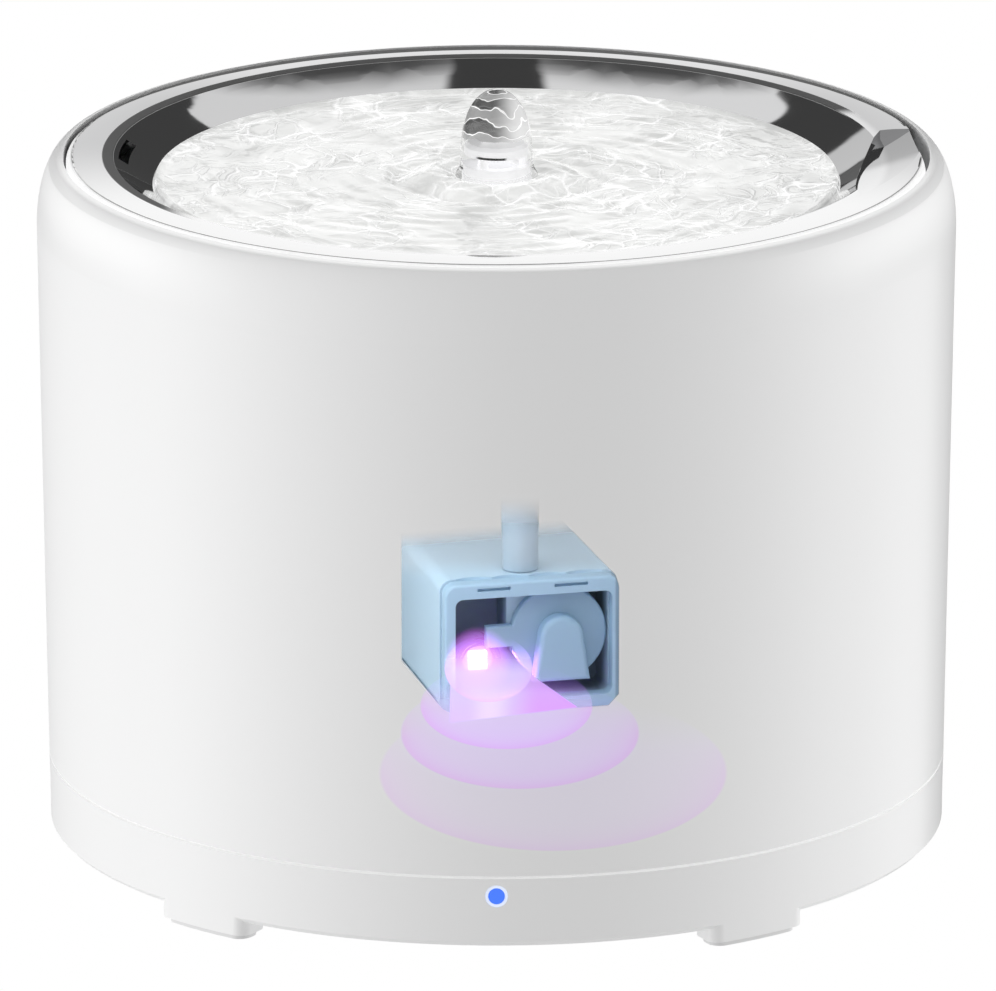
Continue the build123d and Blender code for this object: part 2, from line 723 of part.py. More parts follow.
def tray_blank():
    """The pressed sheet before its scoop, slot and flat are made."""
    upper, lip_top = tray_upper_edges()
    end = dish_end()
    middle = (DISH_FLAT_RADIUS + end) / 2
    roll_start = RIM_RADIUS - RIM_ROLL
    inner_roll = RIM_ROLL - SHEET
    shoulder = (roll_start, rim_height(roll_start, SHEET))
    lip = RIM_RADIUS - SHEET
    bend = (lip - inner_roll * (1 - cos(radians(45))), lip_top + inner_roll * sin(radians(45)))
    under_crease = dish_point(end, SHEET)
    under_edges = [
        Line((RIM_RADIUS, lip_top), (RIM_RADIUS, lip_top - RIM_LIP)),
        Line((RIM_RADIUS, lip_top - RIM_LIP), (lip, lip_top - RIM_LIP)),
        Line((lip, lip_top - RIM_LIP), (lip, lip_top)),
        ThreePointArc((lip, lip_top), bend, shoulder),
        ThreePointArc(shoulder, (CREST_RADIUS, TANK_TOP + CREST_RISE - SHEET), under_crease),
        ThreePointArc(under_crease, dish_point(middle, SHEET), dish_point(DISH_FLAT_RADIUS, SHEET)),
        Polyline(
            dish_point(DISH_FLAT_RADIUS, SHEET),
            (WATER_HOLE_RADIUS, DISH_FLOOR - SHEET),
            (WATER_HOLE_RADIUS, DISH_FLOOR),
            (DISH_FLAT_RADIUS, DISH_FLOOR),
        ),
    ]
    return turned(upper + under_edges)


def under_tray():
    """Everything below the tray's upper face, inside the rim."""
    upper, lip_top = tray_upper_edges()
    low = DISH_FLOOR - DISH_DEPTH
    floor = [(0, low), (0, DISH_FLOOR), (DISH_FLAT_RADIUS, DISH_FLOOR)]
    return turned(upper + [Polyline((RIM_RADIUS, lip_top), (RIM_RADIUS, low), *floor)])


def around(radius, angle):
    """Point in plan at a radius and an angle about the fountain's axis."""
    return radius * cos(radians(angle)), radius * sin(radians(angle))


def scoop_outline():
    """Petal in plan, pointed at its near end and open over the rim at its far end."""
    middle = (SCOOP_NEAR_ANGLE + SCOOP_FAR_ANGLE) / 2
    near = around(SCOOP_END_RADIUS, SCOOP_NEAR_ANGLE)
    far = around(SCOOP_END_RADIUS, SCOOP_FAR_ANGLE)
    over_rim = around(RIM_RADIUS + RIM_ROLL, SCOOP_FAR_ANGLE)
    inner = ThreePointArc(near, around(SCOOP_INNER_RADIUS, middle), far)
    outer = ThreePointArc(over_rim, around(SCOOP_OUTER_RADIUS, middle), near)
    return make_face([inner, Line(far, over_rim), outer])


def scoop(grow):
    """Hollow at the rim that a fingertip reaches into, grown by a sheet or a clearance."""
    outline = offset(scoop_outline(), grow) if grow else scoop_outline()
    low = DISH_FLOOR - DISH_DEPTH
    column = Pos(0, 0, low) * extrude(outline, 3 * DISH_DEPTH)
    inner = SCOOP_INNER_RADIUS / 2
    outer = 2 * RIM_RADIUS
    floor = TANK_TOP - SCOOP_FLOOR - grow
    below = ring(
        [
            (inner, low - 1),
            (outer, low - 1),
            (outer, floor + SCOOP_FALL * (outer - SCOOP_INNER_RADIUS)),
            (inner, floor + SCOOP_FALL * (inner - SCOOP_INNER_RADIUS)),
        ]
    )
    return column - below


def rim_flat(grow):
    """Half space outside the straight cut across the rim at the scoop."""
    low = (RIM_RADIUS - FLAT_CUT - grow, -RIM_RADIUS, DISH_FLOOR - DISH_DEPTH)
    high = (2 * RIM_RADIUS, RIM_RADIUS, TANK_TOP + 2 * DISH_DEPTH)
    return Rot(0, 0, FLAT_ANGLE) * block(low, high)


def overflow_slot():
    """Curved slot through the dish wall that lets surplus water fall to the filter."""
    spread = SLOT_LENGTH / SLOT_RADIUS
    outer = SLOT_RADIUS + SLOT_HEIGHT / 2
    ring_cut = tube(outer, outer - SLOT_HEIGHT, DISH_FLOOR, TANK_TOP + DISH_DEPTH)
    length = Pos(0, 0, DISH_FLOOR) * extrude(wedge(spread / 2, 2 * SLOT_RADIUS), 3 * DISH_DEPTH)
    return Rot(0, 0, SLOT_ANGLE) * (ring_cut & length)


def steel_tray():
    pressed = scoop(SHEET) & under_tray()
    return tray_blank() + pressed - scoop(0) - rim_flat(0) - overflow_slot()


def tray_frame():
    """Plastic ring under the rim that carries the steel and stands on the basket."""
    foot = FLANGE_TOP + SEAT_GAP
    outer = RIM_RADIUS - SHEET - SIDE_GAP
    under_rim = rim_height(outer - FRAME_WALL, SHEET) - RIM_ROLL / 2
    frame = ring(
        [
            (outer, foot),
            (outer, under_rim),
            (outer - FRAME_WALL, under_rim),
            (outer - FRAME_WALL, foot + FRAME_FOOT_HEIGHT),
            (outer - FRAME_FOOT, foot + FRAME_FOOT_HEIGHT),
            (outer - FRAME_FOOT, foot),
        ]
    )
    return frame - scoop(SHEET + SIDE_GAP) - rim_flat(SIDE_GAP)


def grommet_top():
    return DISH_FLOOR + GROMMET_FLANGE


def nozzle_grommet():
    return ring(
        [
            (STEM_RADIUS + SHAFT_CLEARANCE, DISH_FLOOR - SHEET - GROMMET_FLANGE),
            (GROMMET_RADIUS, DISH_FLOOR - SHEET - GROMMET_FLANGE),
            (GROMMET_RADIUS, DISH_FLOOR - SHEET),
            (WATER_HOLE_RADIUS - SHAFT_CLEARANCE, DISH_FLOOR - SHEET),
            (WATER_HOLE_RADIUS - SHAFT_CLEARANCE, DISH_FLOOR),
            (GROMMET_RADIUS, DISH_FLOOR),
            (GROMMET_RADIUS, grommet_top()),
            (STEM_RADIUS + SHAFT_CLEARANCE, grommet_top()),
        ]
    )


def outlet_nozzle():
    collar_top = TANK_TOP + COLLAR_TOP
    cap_low = collar_top + CAP_GAP
    cap_top = cap_low + CAP_THICKNESS
    body = ring(
        [
            (STEM_BORE, DISH_FLOOR - STEM_DROP),
            (STEM_RADIUS, DISH_FLOOR - STEM_DROP),
            (STEM_RADIUS, grommet_top()),
            (COLLAR_RADIUS, grommet_top()),
            (COLLAR_RADIUS, collar_top),
            (STEM_BORE, collar_top),
        ]
    )
    cap = ring(
        [
            (0, cap_low),
            (CAP_RADIUS, cap_low),
            (CAP_RADIUS, cap_top - CAP_EDGE),
            (CAP_RADIUS - CAP_EDGE, cap_top),
            (0, cap_top),
        ]
    )
    pillar = Pos(0, 0, collar_top - 1) * Cylinder(
        PILLAR_RADIUS, CAP_GAP + 2, align=(Align.CENTER, Align.CENTER, Align.MIN)
    )
    circle = (STEM_BORE + COLLAR_RADIUS) / 2
    return body + cap + [place * pillar for place in PolarLocations(circle, 3)]


# ---------------------------------------------------------------- pump
def pump_block(front, back, left, right, low, high, corner):
    """Block through the pump from front to back, with rounded long edges."""
    outline = Pos((left + right) / 2, 0) * RectangleRounded(right - left, high - low, corner)
    plane = facing(0, (low + high) / 2, back)
    return extrude(plane * outline, back - front)


def pump_left():
    return PUMP_OFFSET_X - PUMP_WIDTH / 2


def pump_right():
    return PUMP_OFFSET_X + PUMP_WIDTH / 2


def pump_plan():
    """Upright block over the pump's plan, rounded at the rear corners only."""
    length = 2 * PUMP_DEPTH
    outline = Pos(PUMP_OFFSET_X, PUMP_BACK - length / 2) * RectangleRounded(PUMP_WIDTH, length, PUMP_CORNER)
    return extrude(outline, PUMP_HEIGHT)


def front_bay():
    """Open bay behind the intake frame."""
    left = pump_left() + BAY_BAR
    right = pump_right() - BAY_BAR
    return pump_block(HOUSING_FRONT - 1, BAY_BACK, left, right, BAY_BAR, PUMP_HEIGHT - BAY_BAR, FRAME_CORNER)


def rear_bay():
    """Closed bay for the motor and receiver, open downwards under the base plate."""
    half = PUMP_WIDTH / 2 - BAY_WALL
    low = (PUMP_OFFSET_X - half, BAY_BACK + BAY_WALL, -1)
    high = (PUMP_OFFSET_X + half, PUMP_BACK - BAY_WALL, PUMP_HEIGHT - BAY_WALL)
    return block(low, high)


def joint_waves():
    """Scallops along the housing's top edge behind the intake frame."""
    pitch = (PUMP_WIDTH - 2 * PUMP_CORNER) / WAVE_COUNT
    radius = (pitch**2 / 4 + WAVE_DEPTH**2) / (2 * WAVE_DEPTH)
    first = PUMP_OFFSET_X - pitch * (WAVE_COUNT - 1) / 2
    cutter = Cylinder(radius, BAY_BAR, align=(Align.CENTER, Align.CENTER, Align.MAX))
    top = PUMP_HEIGHT + BAY_BAR / 2
    y = HOUSING_FRONT + WAVE_DEPTH - radius
    return [Pos(first + pitch * index, y, top) * cutter for index in range(WAVE_COUNT)]


def volute():
    """Block in the front bay that holds the impeller and leads up to the spout."""
    round_part = rod(ROTOR_X, ROTOR_Z, CHAMBER_MOUTH, BAY_BACK, CHAMBER_RADIUS + CHAMBER_WALL)
    half = SPOUT_BORE + CHAMBER_WALL
    duct = block((-half, CHAMBER_MOUTH, ROTOR_Z), (half, BAY_BACK, PUMP_HEIGHT - BAY_BAR / 2))
    return round_part + duct


def rotor_well():
    return rod(ROTOR_X, ROTOR_Z, BAY_BACK, well_end() + WELL_WALL, WELL_RADIUS + WELL_WALL)


def pump_housing():
    body = pump_block(HOUSING_FRONT, PUMP_BACK, pump_left(), pump_right(), 0, PUMP_HEIGHT, PUMP_EDGE)
    body = (body & pump_plan()) - front_bay() - rear_bay() - joint_waves()
    body = body + volute() + rotor_well()
    body += Pos(0, 0, PUMP_HEIGHT - 1) * Cylinder(
        SPOUT_RADIUS, SPOUT_HEIGHT + 1, align=(Align.CENTER, Align.CENTER, Align.MIN)
    )
    body += rod(UV_X, UV_Z, BAY_BACK - UV_STAND_LENGTH, BAY_BACK + BAY_WALL / 2, UV_STAND_RADIUS)
    body -= rod(ROTOR_X, ROTOR_Z, CHAMBER_MOUTH - 1, BAY_BACK, CHAMBER_RADIUS)
    body -= rod(ROTOR_X, ROTOR_Z, BAY_BACK - 1, well_end(), WELL_RADIUS)
    bore = Pos(0, 0, ROTOR_Z + CHAMBER_RADIUS / 3) * Cylinder(
        SPOUT_BORE, PUMP_HEIGHT, align=(Align.CENTER, Align.CENTER, Align.MIN)
    )
    return body - bore


def pump_base_plate():
    half = PUMP_WIDTH / 2 - BAY_WALL - SHAFT_CLEARANCE
    low = (PUMP_OFFSET_X - half, BAY_BACK + BAY_WALL + SHAFT_CLEARANCE, 0)
    high = (PUMP_OFFSET_X + half, PUMP_BACK - BAY_WALL - SHAFT_CLEARANCE, BASE_PLATE)
    return block(low, high)


def front_rounded(solid, radius):
    """A solid whose front face has its outline rounded off."""
    return fillet(solid.faces().sort_by(Axis.Y)[0].edges(), radius)


def intake_frame():
    back = PUMP_FRONT + FRAME_DEPTH
    top = PUMP_HEIGHT - SIDE_GAP
    left = pump_left() + SIDE_GAP
    right = pump_right() - SIDE_GAP
    outer = front_rounded(pump_block(PUMP_FRONT, back, left, right, SIDE_GAP, top, PUMP_EDGE), FRAME_EDGE)
    hole_left = pump_left() + FRAME_LEFT
    hole_right = pump_right() - FRAME_RIGHT
    hole_top = PUMP_HEIGHT - FRAME_TOP
    hole = pump_block(PUMP_FRONT - 1, back + 1, hole_left, hole_right, FRAME_BOTTOM, hole_top, FRAME_CORNER)
    latch = Box(LATCH_LENGTH, 2 * LATCH_DEPTH, LATCH_WIDTH)
    row = Pos(PUMP_OFFSET_X, PUMP_FRONT, top - LATCH_DROP)
    return outer - hole - [row * spot * latch for spot in GridLocations(LATCH_SPACING, 0, 2, 1)]


def hood_outline(shrink):
    """Arched outline of the thumb grip, flat side down."""
    low = -HOOD_BELOW
    half_low = HOOD_WIDTH / 2 - shrink
    half_top = HOOD_TOP_WIDTH / 2 - shrink
    shoulder = HOOD_ABOVE - HOOD_TOP_WIDTH / 2
    return make_face(
        [
            Line((-half_low, low), (half_low, low)),
            Line((half_low, low), (half_top, shoulder)),
            ThreePointArc((half_top, shoulder), (0, HOOD_ABOVE - shrink), (-half_top, shoulder)),
            Line((-half_top, shoulder), (-half_low, low)),
        ]
    )


def impeller_cover():
    back = CHAMBER_MOUTH - SIDE_GAP
    front = back - COVER_DISC
    cover = front_rounded(rod(ROTOR_X, ROTOR_Z, front, back, COVER_RADIUS), COVER_EDGE)
    lug_low = (ROTOR_X - COVER_RADIUS - LUG_REACH, front, ROTOR_Z - LUG_WIDTH / 2)
    lug_high = (ROTOR_X - COVER_RADIUS + 2, back, ROTOR_Z + LUG_WIDTH / 2)
    cover += front_rounded(block(lug_low, lug_high), COVER_EDGE)
    cover += front_rounded(extrude(facing(ROTOR_X, ROTOR_Z, front) * hood_outline(0), HOOD_DEPTH), HOOD_EDGE)
    hollow = extrude(facing(ROTOR_X, ROTOR_Z, front) * hood_outline(HOOD_WALL), HOOD_DEPTH - HOOD_WALL)
    below = block(
        (ROTOR_X - HOOD_WIDTH / 2 + HOOD_WALL, front - HOOD_DEPTH + HOOD_WALL, ROTOR_Z - HOOD_BELOW - 1),
        (ROTOR_X + HOOD_WIDTH / 2 - HOOD_WALL, front, ROTOR_Z - HOOD_BELOW + HOOD_WALL),
    )
    cover = cover - hollow - below
    hole = rod(0, INTAKE_CIRCLE, front - 1, back + 1, INTAKE_HOLE_RADIUS)
    for index in range(INTAKE_HOLES):
        turn = Rot(0, 360 / INTAKE_HOLES * index, 0)
        cover -= Pos(ROTOR_X, 0, ROTOR_Z) * turn * hole
    seat = rod(ROTOR_X, ROTOR_Z, front - 1, back + 1, SHAFT_RADIUS + 2 * SHAFT_CLEARANCE)
    return cover - seat


def impeller():
    """Hub, vanes and the sleeve that the magnet sits on, bored to run on the shaft."""
    back = BAY_BACK - SIDE_GAP
    front = back - IMPELLER_LENGTH
    wheel = rod(ROTOR_X, ROTOR_Z, front, back, SLEEVE_RADIUS + 1)
    wheel += rod(ROTOR_X, ROTOR_Z, back - 1, back, IMPELLER_RADIUS - 1)
    vane = block((0, front, -VANE_THICKNESS / 2), (IMPELLER_RADIUS, back, VANE_THICKNESS / 2))
    for index in range(VANE_COUNT):
        wheel += Pos(ROTOR_X, 0, ROTOR_Z) * Rot(0, 360 / VANE_COUNT * index, 0) * vane
    wheel += rod(ROTOR_X, ROTOR_Z, back, magnet_back(), SLEEVE_RADIUS)
    return wheel - rod(ROTOR_X, ROTOR_Z, front - 1, magnet_back() + 1, SHAFT_RADIUS + SHAFT_CLEARANCE)


def magnet_back():
    return BAY_BACK + SIDE_GAP + MAGNET_LENGTH


def rotor_magnet():
    front = BAY_BACK + SIDE_GAP
    outer = rod(ROTOR_X, ROTOR_Z, front, magnet_back(), MAGNET_RADIUS)
    return outer - rod(ROTOR_X, ROTOR_Z, front - 1, magnet_back() + 1, SLEEVE_RADIUS + SHAFT_CLEARANCE / 5)


def well_end():
    return BAY_BACK + BAY_WALL + WELL_LENGTH


def rotor_shaft():
    front = CHAMBER_MOUTH - SIDE_GAP - COVER_DISC / 2
    return rod(ROTOR_X, ROTOR_Z, front, well_end() - SHAFT_END_GAP, SHAFT_RADIUS)


def shaft_bush():
    outer = rod(ROTOR_X, ROTOR_Z, well_end() - BUSH_LENGTH, well_end(), BUSH_RADIUS)
    return outer - rod(ROTOR_X, ROTOR_Z, well_end() - BUSH_LENGTH - 1, well_end() - SHAFT_END_GAP, SHAFT_RADIUS)


def stator_front():
    return BAY_BACK + BAY_WALL + SIDE_GAP


def stator_pole():
    half = POLE_WIDTH / 2
    start = WELL_RADIUS + WELL_WALL + SHAFT_CLEARANCE
    reach = STATOR_OUTER - STATOR_YOKE / 2
    return block((start, stator_front(), -half), (reach, stator_front() + STATOR_LENGTH, half))


def stator_core():
    front = stator_front()
    back = front + STATOR_LENGTH
    yoke = rod(ROTOR_X, ROTOR_Z, front, back, STATOR_OUTER)
    yoke -= rod(ROTOR_X, ROTOR_Z, front - 1, back + 1, STATOR_OUTER - STATOR_YOKE)
    for index in range(POLE_COUNT):
        yoke += Pos(ROTOR_X, 0, ROTOR_Z) * Rot(0, 360 / POLE_COUNT * index, 0) * stator_pole()
    return yoke


def stator_coils():
    """One winding round each pole."""
    half = POLE_WIDTH / 2 + COIL_TURNS
    start = WELL_RADIUS + WELL_WALL + COIL_INSET
    reach = sqrt((STATOR_OUTER - STATOR_YOKE - SIDE_GAP) ** 2 - half**2)
    gap = SIDE_GAP / 3
    front = stator_front()
    winding = block((start, front - gap, -half), (reach, front + STATOR_LENGTH + COIL_TURNS, half))
    pole = POLE_WIDTH / 2 + gap
    core = block((start - 1, front - gap, -pole), (reach + 1, front + STATOR_LENGTH + gap, pole))
    coil = winding - core
    return [
        Pos(ROTOR_X, 0, ROTOR_Z) * Rot(0, 360 / POLE_COUNT * index, 0) * coil for index in range(POLE_COUNT)
    ]


def receive_coil():
    place = Pos(PUMP_OFFSET_X, coil_depth(), 0)
    return place * tube(RECEIVE_RADIUS, RECEIVE_BORE, BASE_PLATE, BASE_PLATE + COIL_HEIGHT)


def receive_ferrite():
    place = Pos(PUMP_OFFSET_X, coil_depth(), 0)
    low = BASE_PLATE + COIL_HEIGHT
    return place * disc(RECEIVE_RADIUS, low, low + FERRITE_HEIGHT)


def pump_board():
    left = pump_left() + BAY_WALL + SIDE_GAP
    front = BAY_BACK + BAY_WALL + SIDE_GAP
    back = PUMP_BACK - BAY_WALL - SIDE_GAP
    low = BASE_PLATE + COIL_HEIGHT + FERRITE_HEIGHT + SIDE_GAP
    high = PUMP_HEIGHT - BAY_WALL - SIDE_GAP
    board = block((left, front, low), (left + BOARD, back, high))
    place = Pos(left + BOARD, (front + back) / 2, (low + high) / 2) * Rot(0, 90, 0)
    return board + place * chip()


def uv_lamp():
    back = BAY_BACK - UV_STAND_LENGTH
    half = UV_LAMP_SIDE / 2
    return block((UV_X - half, back - UV_LAMP_THICKNESS, UV_Z - half), (UV_X + half, back, UV_Z + half))


def uv_window():
    """Clear domed cap over the ultraviolet lamp."""
    straight = BAY_BACK - UV_WINDOW_LENGTH + UV_WINDOW_RADIUS / 2
    outer = window_form(UV_WINDOW_RADIUS, straight, BAY_BACK)
    inner = window_form(UV_WINDOW_RADIUS - UV_WINDOW_WALL, straight, BAY_BACK + 1)
    return outer - inner


def window_form(radius, straight, back):
    """Cylinder with a dome on its front that is cut off at half its height."""
    body = rod(UV_X, UV_Z, straight, back, radius)
    reach = 2 * radius
    slice_low = (UV_X - reach, straight - radius / 2, UV_Z - reach)
    slice_high = (UV_X + reach, straight, UV_Z + reach)
    return body + (Pos(UV_X, straight, UV_Z) * Sphere(radius) & block(slice_low, slice_high))


def riser_tube():
    """Silicone tube from the pump's spout to the basket's pipe, with a gentle shift to the axis."""
    bottom = PUMP_BOTTOM + PUMP_HEIGHT + SEAT_GAP
    top = PIPE_BOTTOM + RISER_OVERLAP
    bend_low = bottom + RISER_STRAIGHT
    bend_high = bend_low + RISER_SHIFT_HEIGHT
    path = FilletPolyline(
        (PUMP_X, 0, bottom), (PUMP_X, 0, bend_low), (0, 0, bend_high), (0, 0, top), radius=RISER_SHIFT_HEIGHT
    )
    section = Plane(origin=(PUMP_X, 0, bottom), x_dir=(1, 0, 0), z_dir=(0, 0, 1))
    wall = sweep(section * Circle(RISER_RADIUS), path=path)
    bore = sweep(section * Circle(SPOUT_RADIUS + SHAFT_CLEARANCE), path=path)
    collar_low = PIPE_BOTTOM + RISER_COLLAR_RISE
    collar = tube(RISER_COLLAR, RISER_RADIUS - RISER_COLLAR_BITE, collar_low, collar_low + RISER_COLLAR_LENGTH)
    return wall + collar - bore


# ---------------------------------------------------------------- all nodes
FOUNTAIN_PARTS = {
    "base_shell": base_shell,
    "base_cover": base_cover,
    "cover_screws": cover_screws,
    "control_board": control_board,
    "power_socket": power_socket,
    "socket_tongue": socket_tongue,
    "transmit_coil": transmit_coil,
    "transmit_ferrite": transmit_ferrite,
    "pilot_lens": pilot_lens,
    "pilot_ring": pilot_ring,
    "pilot_lamp": pilot_lamp,
    "pilot_board": pilot_board,
    "tank_shell": tank_shell,
    "filter_basket": filter_basket,
    "cartridge_frame": cartridge_frame,
    "filter_media": filter_media,
    "filter_felt": filter_felt,
    "steel_tray": steel_tray,
    "tray_frame": tray_frame,
    "nozzle_grommet": nozzle_grommet,
    "outlet_nozzle": outlet_nozzle,
    "riser_tube": riser_tube,
}

PUMP_PARTS = {
    "pump_housing": pump_housing,
    "pump_base_plate": pump_base_plate,
    "intake_frame": intake_frame,
    "impeller_cover": impeller_cover,
    "impeller": impeller,
    "rotor_magnet": rotor_magnet,
    "rotor_shaft": rotor_shaft,
    "shaft_bush": shaft_bush,
    "stator_core": stator_core,
    "stator_coils": stator_coils,
    "receive_coil": receive_coil,
    "receive_ferrite": receive_ferrite,
    "pump_board": pump_board,
    "uv_lamp": uv_lamp,
    "uv_window": uv_window,
}


def save(name, shape):
    """Write one node, made of one solid or of several."""
    solids = shape if isinstance(shape, list) else [shape]
    pieces = [solid for item in solids for solid in item.solids()]
    export_step(Compound(children=pieces) if len(pieces) > 1 else pieces[0], f"parts/{name}.step")


def main():
    os.makedirs("parts", exist_ok=True)
    for name, make in FOUNTAIN_PARTS.items():
        save(name, make())
    for name, make in PUMP_PARTS.items():
        made = make()
        items = made if isinstance(made, list) else [made]
        save(name, [pump_place() * item for item in items])
    for index, angle in enumerate(foot_angles(), 1):
        save(f"foot_pad_{index}", foot_pad(angle))


main()
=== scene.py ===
import json
import math

import bmesh
import bpy
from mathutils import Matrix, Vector


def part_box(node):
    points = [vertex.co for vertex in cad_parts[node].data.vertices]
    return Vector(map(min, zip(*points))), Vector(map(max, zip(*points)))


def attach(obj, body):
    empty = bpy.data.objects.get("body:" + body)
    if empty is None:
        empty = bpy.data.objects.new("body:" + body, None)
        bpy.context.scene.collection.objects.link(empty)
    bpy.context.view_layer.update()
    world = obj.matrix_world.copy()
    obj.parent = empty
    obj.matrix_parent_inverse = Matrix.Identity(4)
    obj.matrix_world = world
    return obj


# Pet water fountain. Metres, +Z up, front towards -Y. Patterns on the materials are laid out in
# millimetres, and a pair such as (86.9, 87.2) is where a soft step starts and where it ends. A
# third number is how high the step reaches, where that isn't 1.

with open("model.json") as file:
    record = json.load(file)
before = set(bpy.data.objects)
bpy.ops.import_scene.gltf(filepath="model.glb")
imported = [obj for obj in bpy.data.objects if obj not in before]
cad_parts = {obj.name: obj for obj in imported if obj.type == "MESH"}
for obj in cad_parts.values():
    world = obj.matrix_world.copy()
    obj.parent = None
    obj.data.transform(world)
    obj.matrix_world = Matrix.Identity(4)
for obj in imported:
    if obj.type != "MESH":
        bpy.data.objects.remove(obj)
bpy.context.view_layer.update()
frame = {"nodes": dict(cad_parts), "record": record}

# ---------------------------------------------------------------- sizes taken from the frame
TANK_LOW, TANK_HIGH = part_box("tank_shell")
SEAM_HIGH = 1000 * TANK_LOW.z
NOZZLE_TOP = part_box("outlet_nozzle")[1].z
STEEL_SHEET = 0.0008
DISH_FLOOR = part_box("steel_tray")[0].z + STEEL_SHEET
DISH_FLAT = 0.036
DISH_ARC = 0.075
BAY_TOP = 1000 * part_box("intake_frame")[1].z - 3.0

# ---------------------------------------------------------------- water, in metres
WATER_LEVEL = TANK_HIGH.z - 0.0050
WATER_RADIUS = 0.0697
WATER_HOLE = 0.0072
WATER_PARTS = 288
SURFACE_RINGS = 110
UNDERSIDE_RINGS = 24
UNDERSIDE_INSET = 0.0004
UNDERSIDE_GAP = 0.0009
UNDERSIDE_RISE = 0.0006
CALM_EDGE = 0.006
# Rings round the nozzle: height, radius and width
SPLASH = (0.0016, 0.0125, 0.0035)
TROUGH = (-0.0006, 0.019, 0.004)
# Rings and slanting waves: height, and radians to the metre or to each turn
RING_HEIGHT = 0.00022
RING_PITCH = 900
RING_BEND = 0.9
RING_REACH = 0.05
SWIRL_PITCH = 260
SWIRL_ARMS = 2
WAVE_HEIGHT = 0.00018
WAVE_SWIRLS = 3
WAVE_PITCH = 420
WAVE_ARMS = 5

DOME_RADIUS = 0.0073
DOME_RISE = 0.0112
DOME_WAIST_DROP = 0.0019
DOME_FOOT_RISE = 0.0008
DOME_FLARE = 0.0012
DOME_FULLNESS = 2.2
DOME_STEPS = 40
FLARE_STEPS = 12

# ---------------------------------------------------------------- camera
VIEW_RISE = math.radians(16.05)
CAMERA_DISTANCE = 3.343
CAMERA_LENS = 589.9
CAMERA_SHIFT = (0.0015, -0.01014)
TARGET = Vector((0, 0, 0.074))


class Tree:
    """A node tree of a material or a world, with short ways to add and join nodes."""

    def __init__(self, holder, output_kind):
        self.holder = holder
        self.holder.use_nodes = True
        self.tree = holder.node_tree
        self.tree.nodes.clear()
        self.output = self.tree.nodes.new(output_kind)

    def node(self, kind, **inputs):
        """A new node; an underscore stands for the space in an input's name."""
        made = self.tree.nodes.new(kind)
        for name, value in inputs.items():
            self.put(made, name.replace("_", " "), value)
        return made

    def put(self, node, socket, value):
        """Links or sets an input, given by its name or its number."""
        target = node.inputs[socket]
        if isinstance(value, bpy.types.NodeSocket):
            self.tree.links.new(value, target)
        else:
            target.default_value = value

    def math(self, operation, *values, clamp=False):
        made = self.tree.nodes.new("ShaderNodeMath")
        made.operation = operation
        made.use_clamp = clamp
        for index, value in enumerate(values):
            self.put(made, index, value)
        return made.outputs[0]

    def product(self, first, *others):
        for other in others:
            first = self.math("MULTIPLY", first, other)
        return first

    def largest(self, first, *others):
        for other in others:
            first = self.math("MAXIMUM", first, other)
        return first

    def absolute(self, value):
        return self.math("ABSOLUTE", value)

    def vector(self, operation, *values):
        made = self.tree.nodes.new("ShaderNodeVectorMath")
        made.operation = operation
        for index, value in enumerate(values):
            self.put(made, index, value)
        return made.outputs["Value" if operation in ("DOT_PRODUCT", "LENGTH") else "Vector"]

    def smooth(self, value, start, end, top=1.0):
        """0 up to the start, top from the end on, a soft step between; start may be the larger."""
        made = self.tree.nodes.new("ShaderNodeMapRange")
        made.interpolation_type = "SMOOTHSTEP"
        self.put(made, "Value", value)
        self.put(made, "From Min", start)
        self.put(made, "From Max", end)
        self.put(made, "To Max", top)
        return made.outputs["Result"]

    def mix(self, factor, first, second):
        """A blend of two colours."""
        made = self.tree.nodes.new("ShaderNodeMix")
        made.data_type = "RGBA"
        self.put(made, 0, factor)
        self.put(made, 6, first)
        self.put(made, 7, second)
        return made.outputs[2]

    def add_shaders(self, first, second):
        made = self.node("ShaderNodeAddShader")
        self.put(made, 0, first)
        self.put(made, 1, second)
        return made.outputs[0]

    def mix_shaders(self, factor, first, second):
        made = self.node("ShaderNodeMixShader", Fac=factor)
        self.put(made, 1, first)
        self.put(made, 2, second)
        return made.outputs[0]

    def done(self, shader):
        self.tree.links.new(shader, self.output.inputs["Surface"])
        return self.holder


class Look(Tree):
    """A material."""

    def __init__(self, name):
        super().__init__(bpy.data.materials.new(name), "ShaderNodeOutputMaterial")

    def place(self):
        """Object coordinates, which are the part's own metres."""
        return self.node("ShaderNodeTexCoord").outputs["Object"]

    def along(self, place, east, north, up):
        """Millimetres along a direction."""
        return self.vector("DOT_PRODUCT", place, (1000.0 * east, 1000.0 * north, 1000.0 * up))

    def east(self, place):
        return self.along(place, 1.0, 0.0, 0.0)

    def north(self, place):
        return self.along(place, 0.0, 1.0, 0.0)

    def height(self, place):
        return self.along(place, 0.0, 0.0, 1.0)

    def radius(self, place):
        """Millimetres from the fountain's axis."""
        return self.vector("LENGTH", self.vector("MULTIPLY", place, (1000.0, 1000.0, 0.0)))

    def noise(self, scale, detail=3.0, roughness=0.5, place=None):
        made = self.node("ShaderNodeTexNoise", Scale=scale, Detail=detail, Roughness=roughness)
        self.put(made, "Vector", place or self.place())
        return made.outputs["Fac"]

    def bump(self, height, strength, distance):
        made = self.node("ShaderNodeBump", Strength=strength, Distance=distance, Height=height)
        return made.outputs["Normal"]

    def principled(self, **inputs):
        return self.node("ShaderNodeBsdfPrincipled", **inputs).outputs[0]

    def emission(self, tint, strength):
        return self.node("ShaderNodeEmission", Color=tint, Strength=strength).outputs[0]


def colour(red, green, blue):
    return (red, green, blue, 1.0)


WHITE = colour(1.0, 1.0, 1.0)


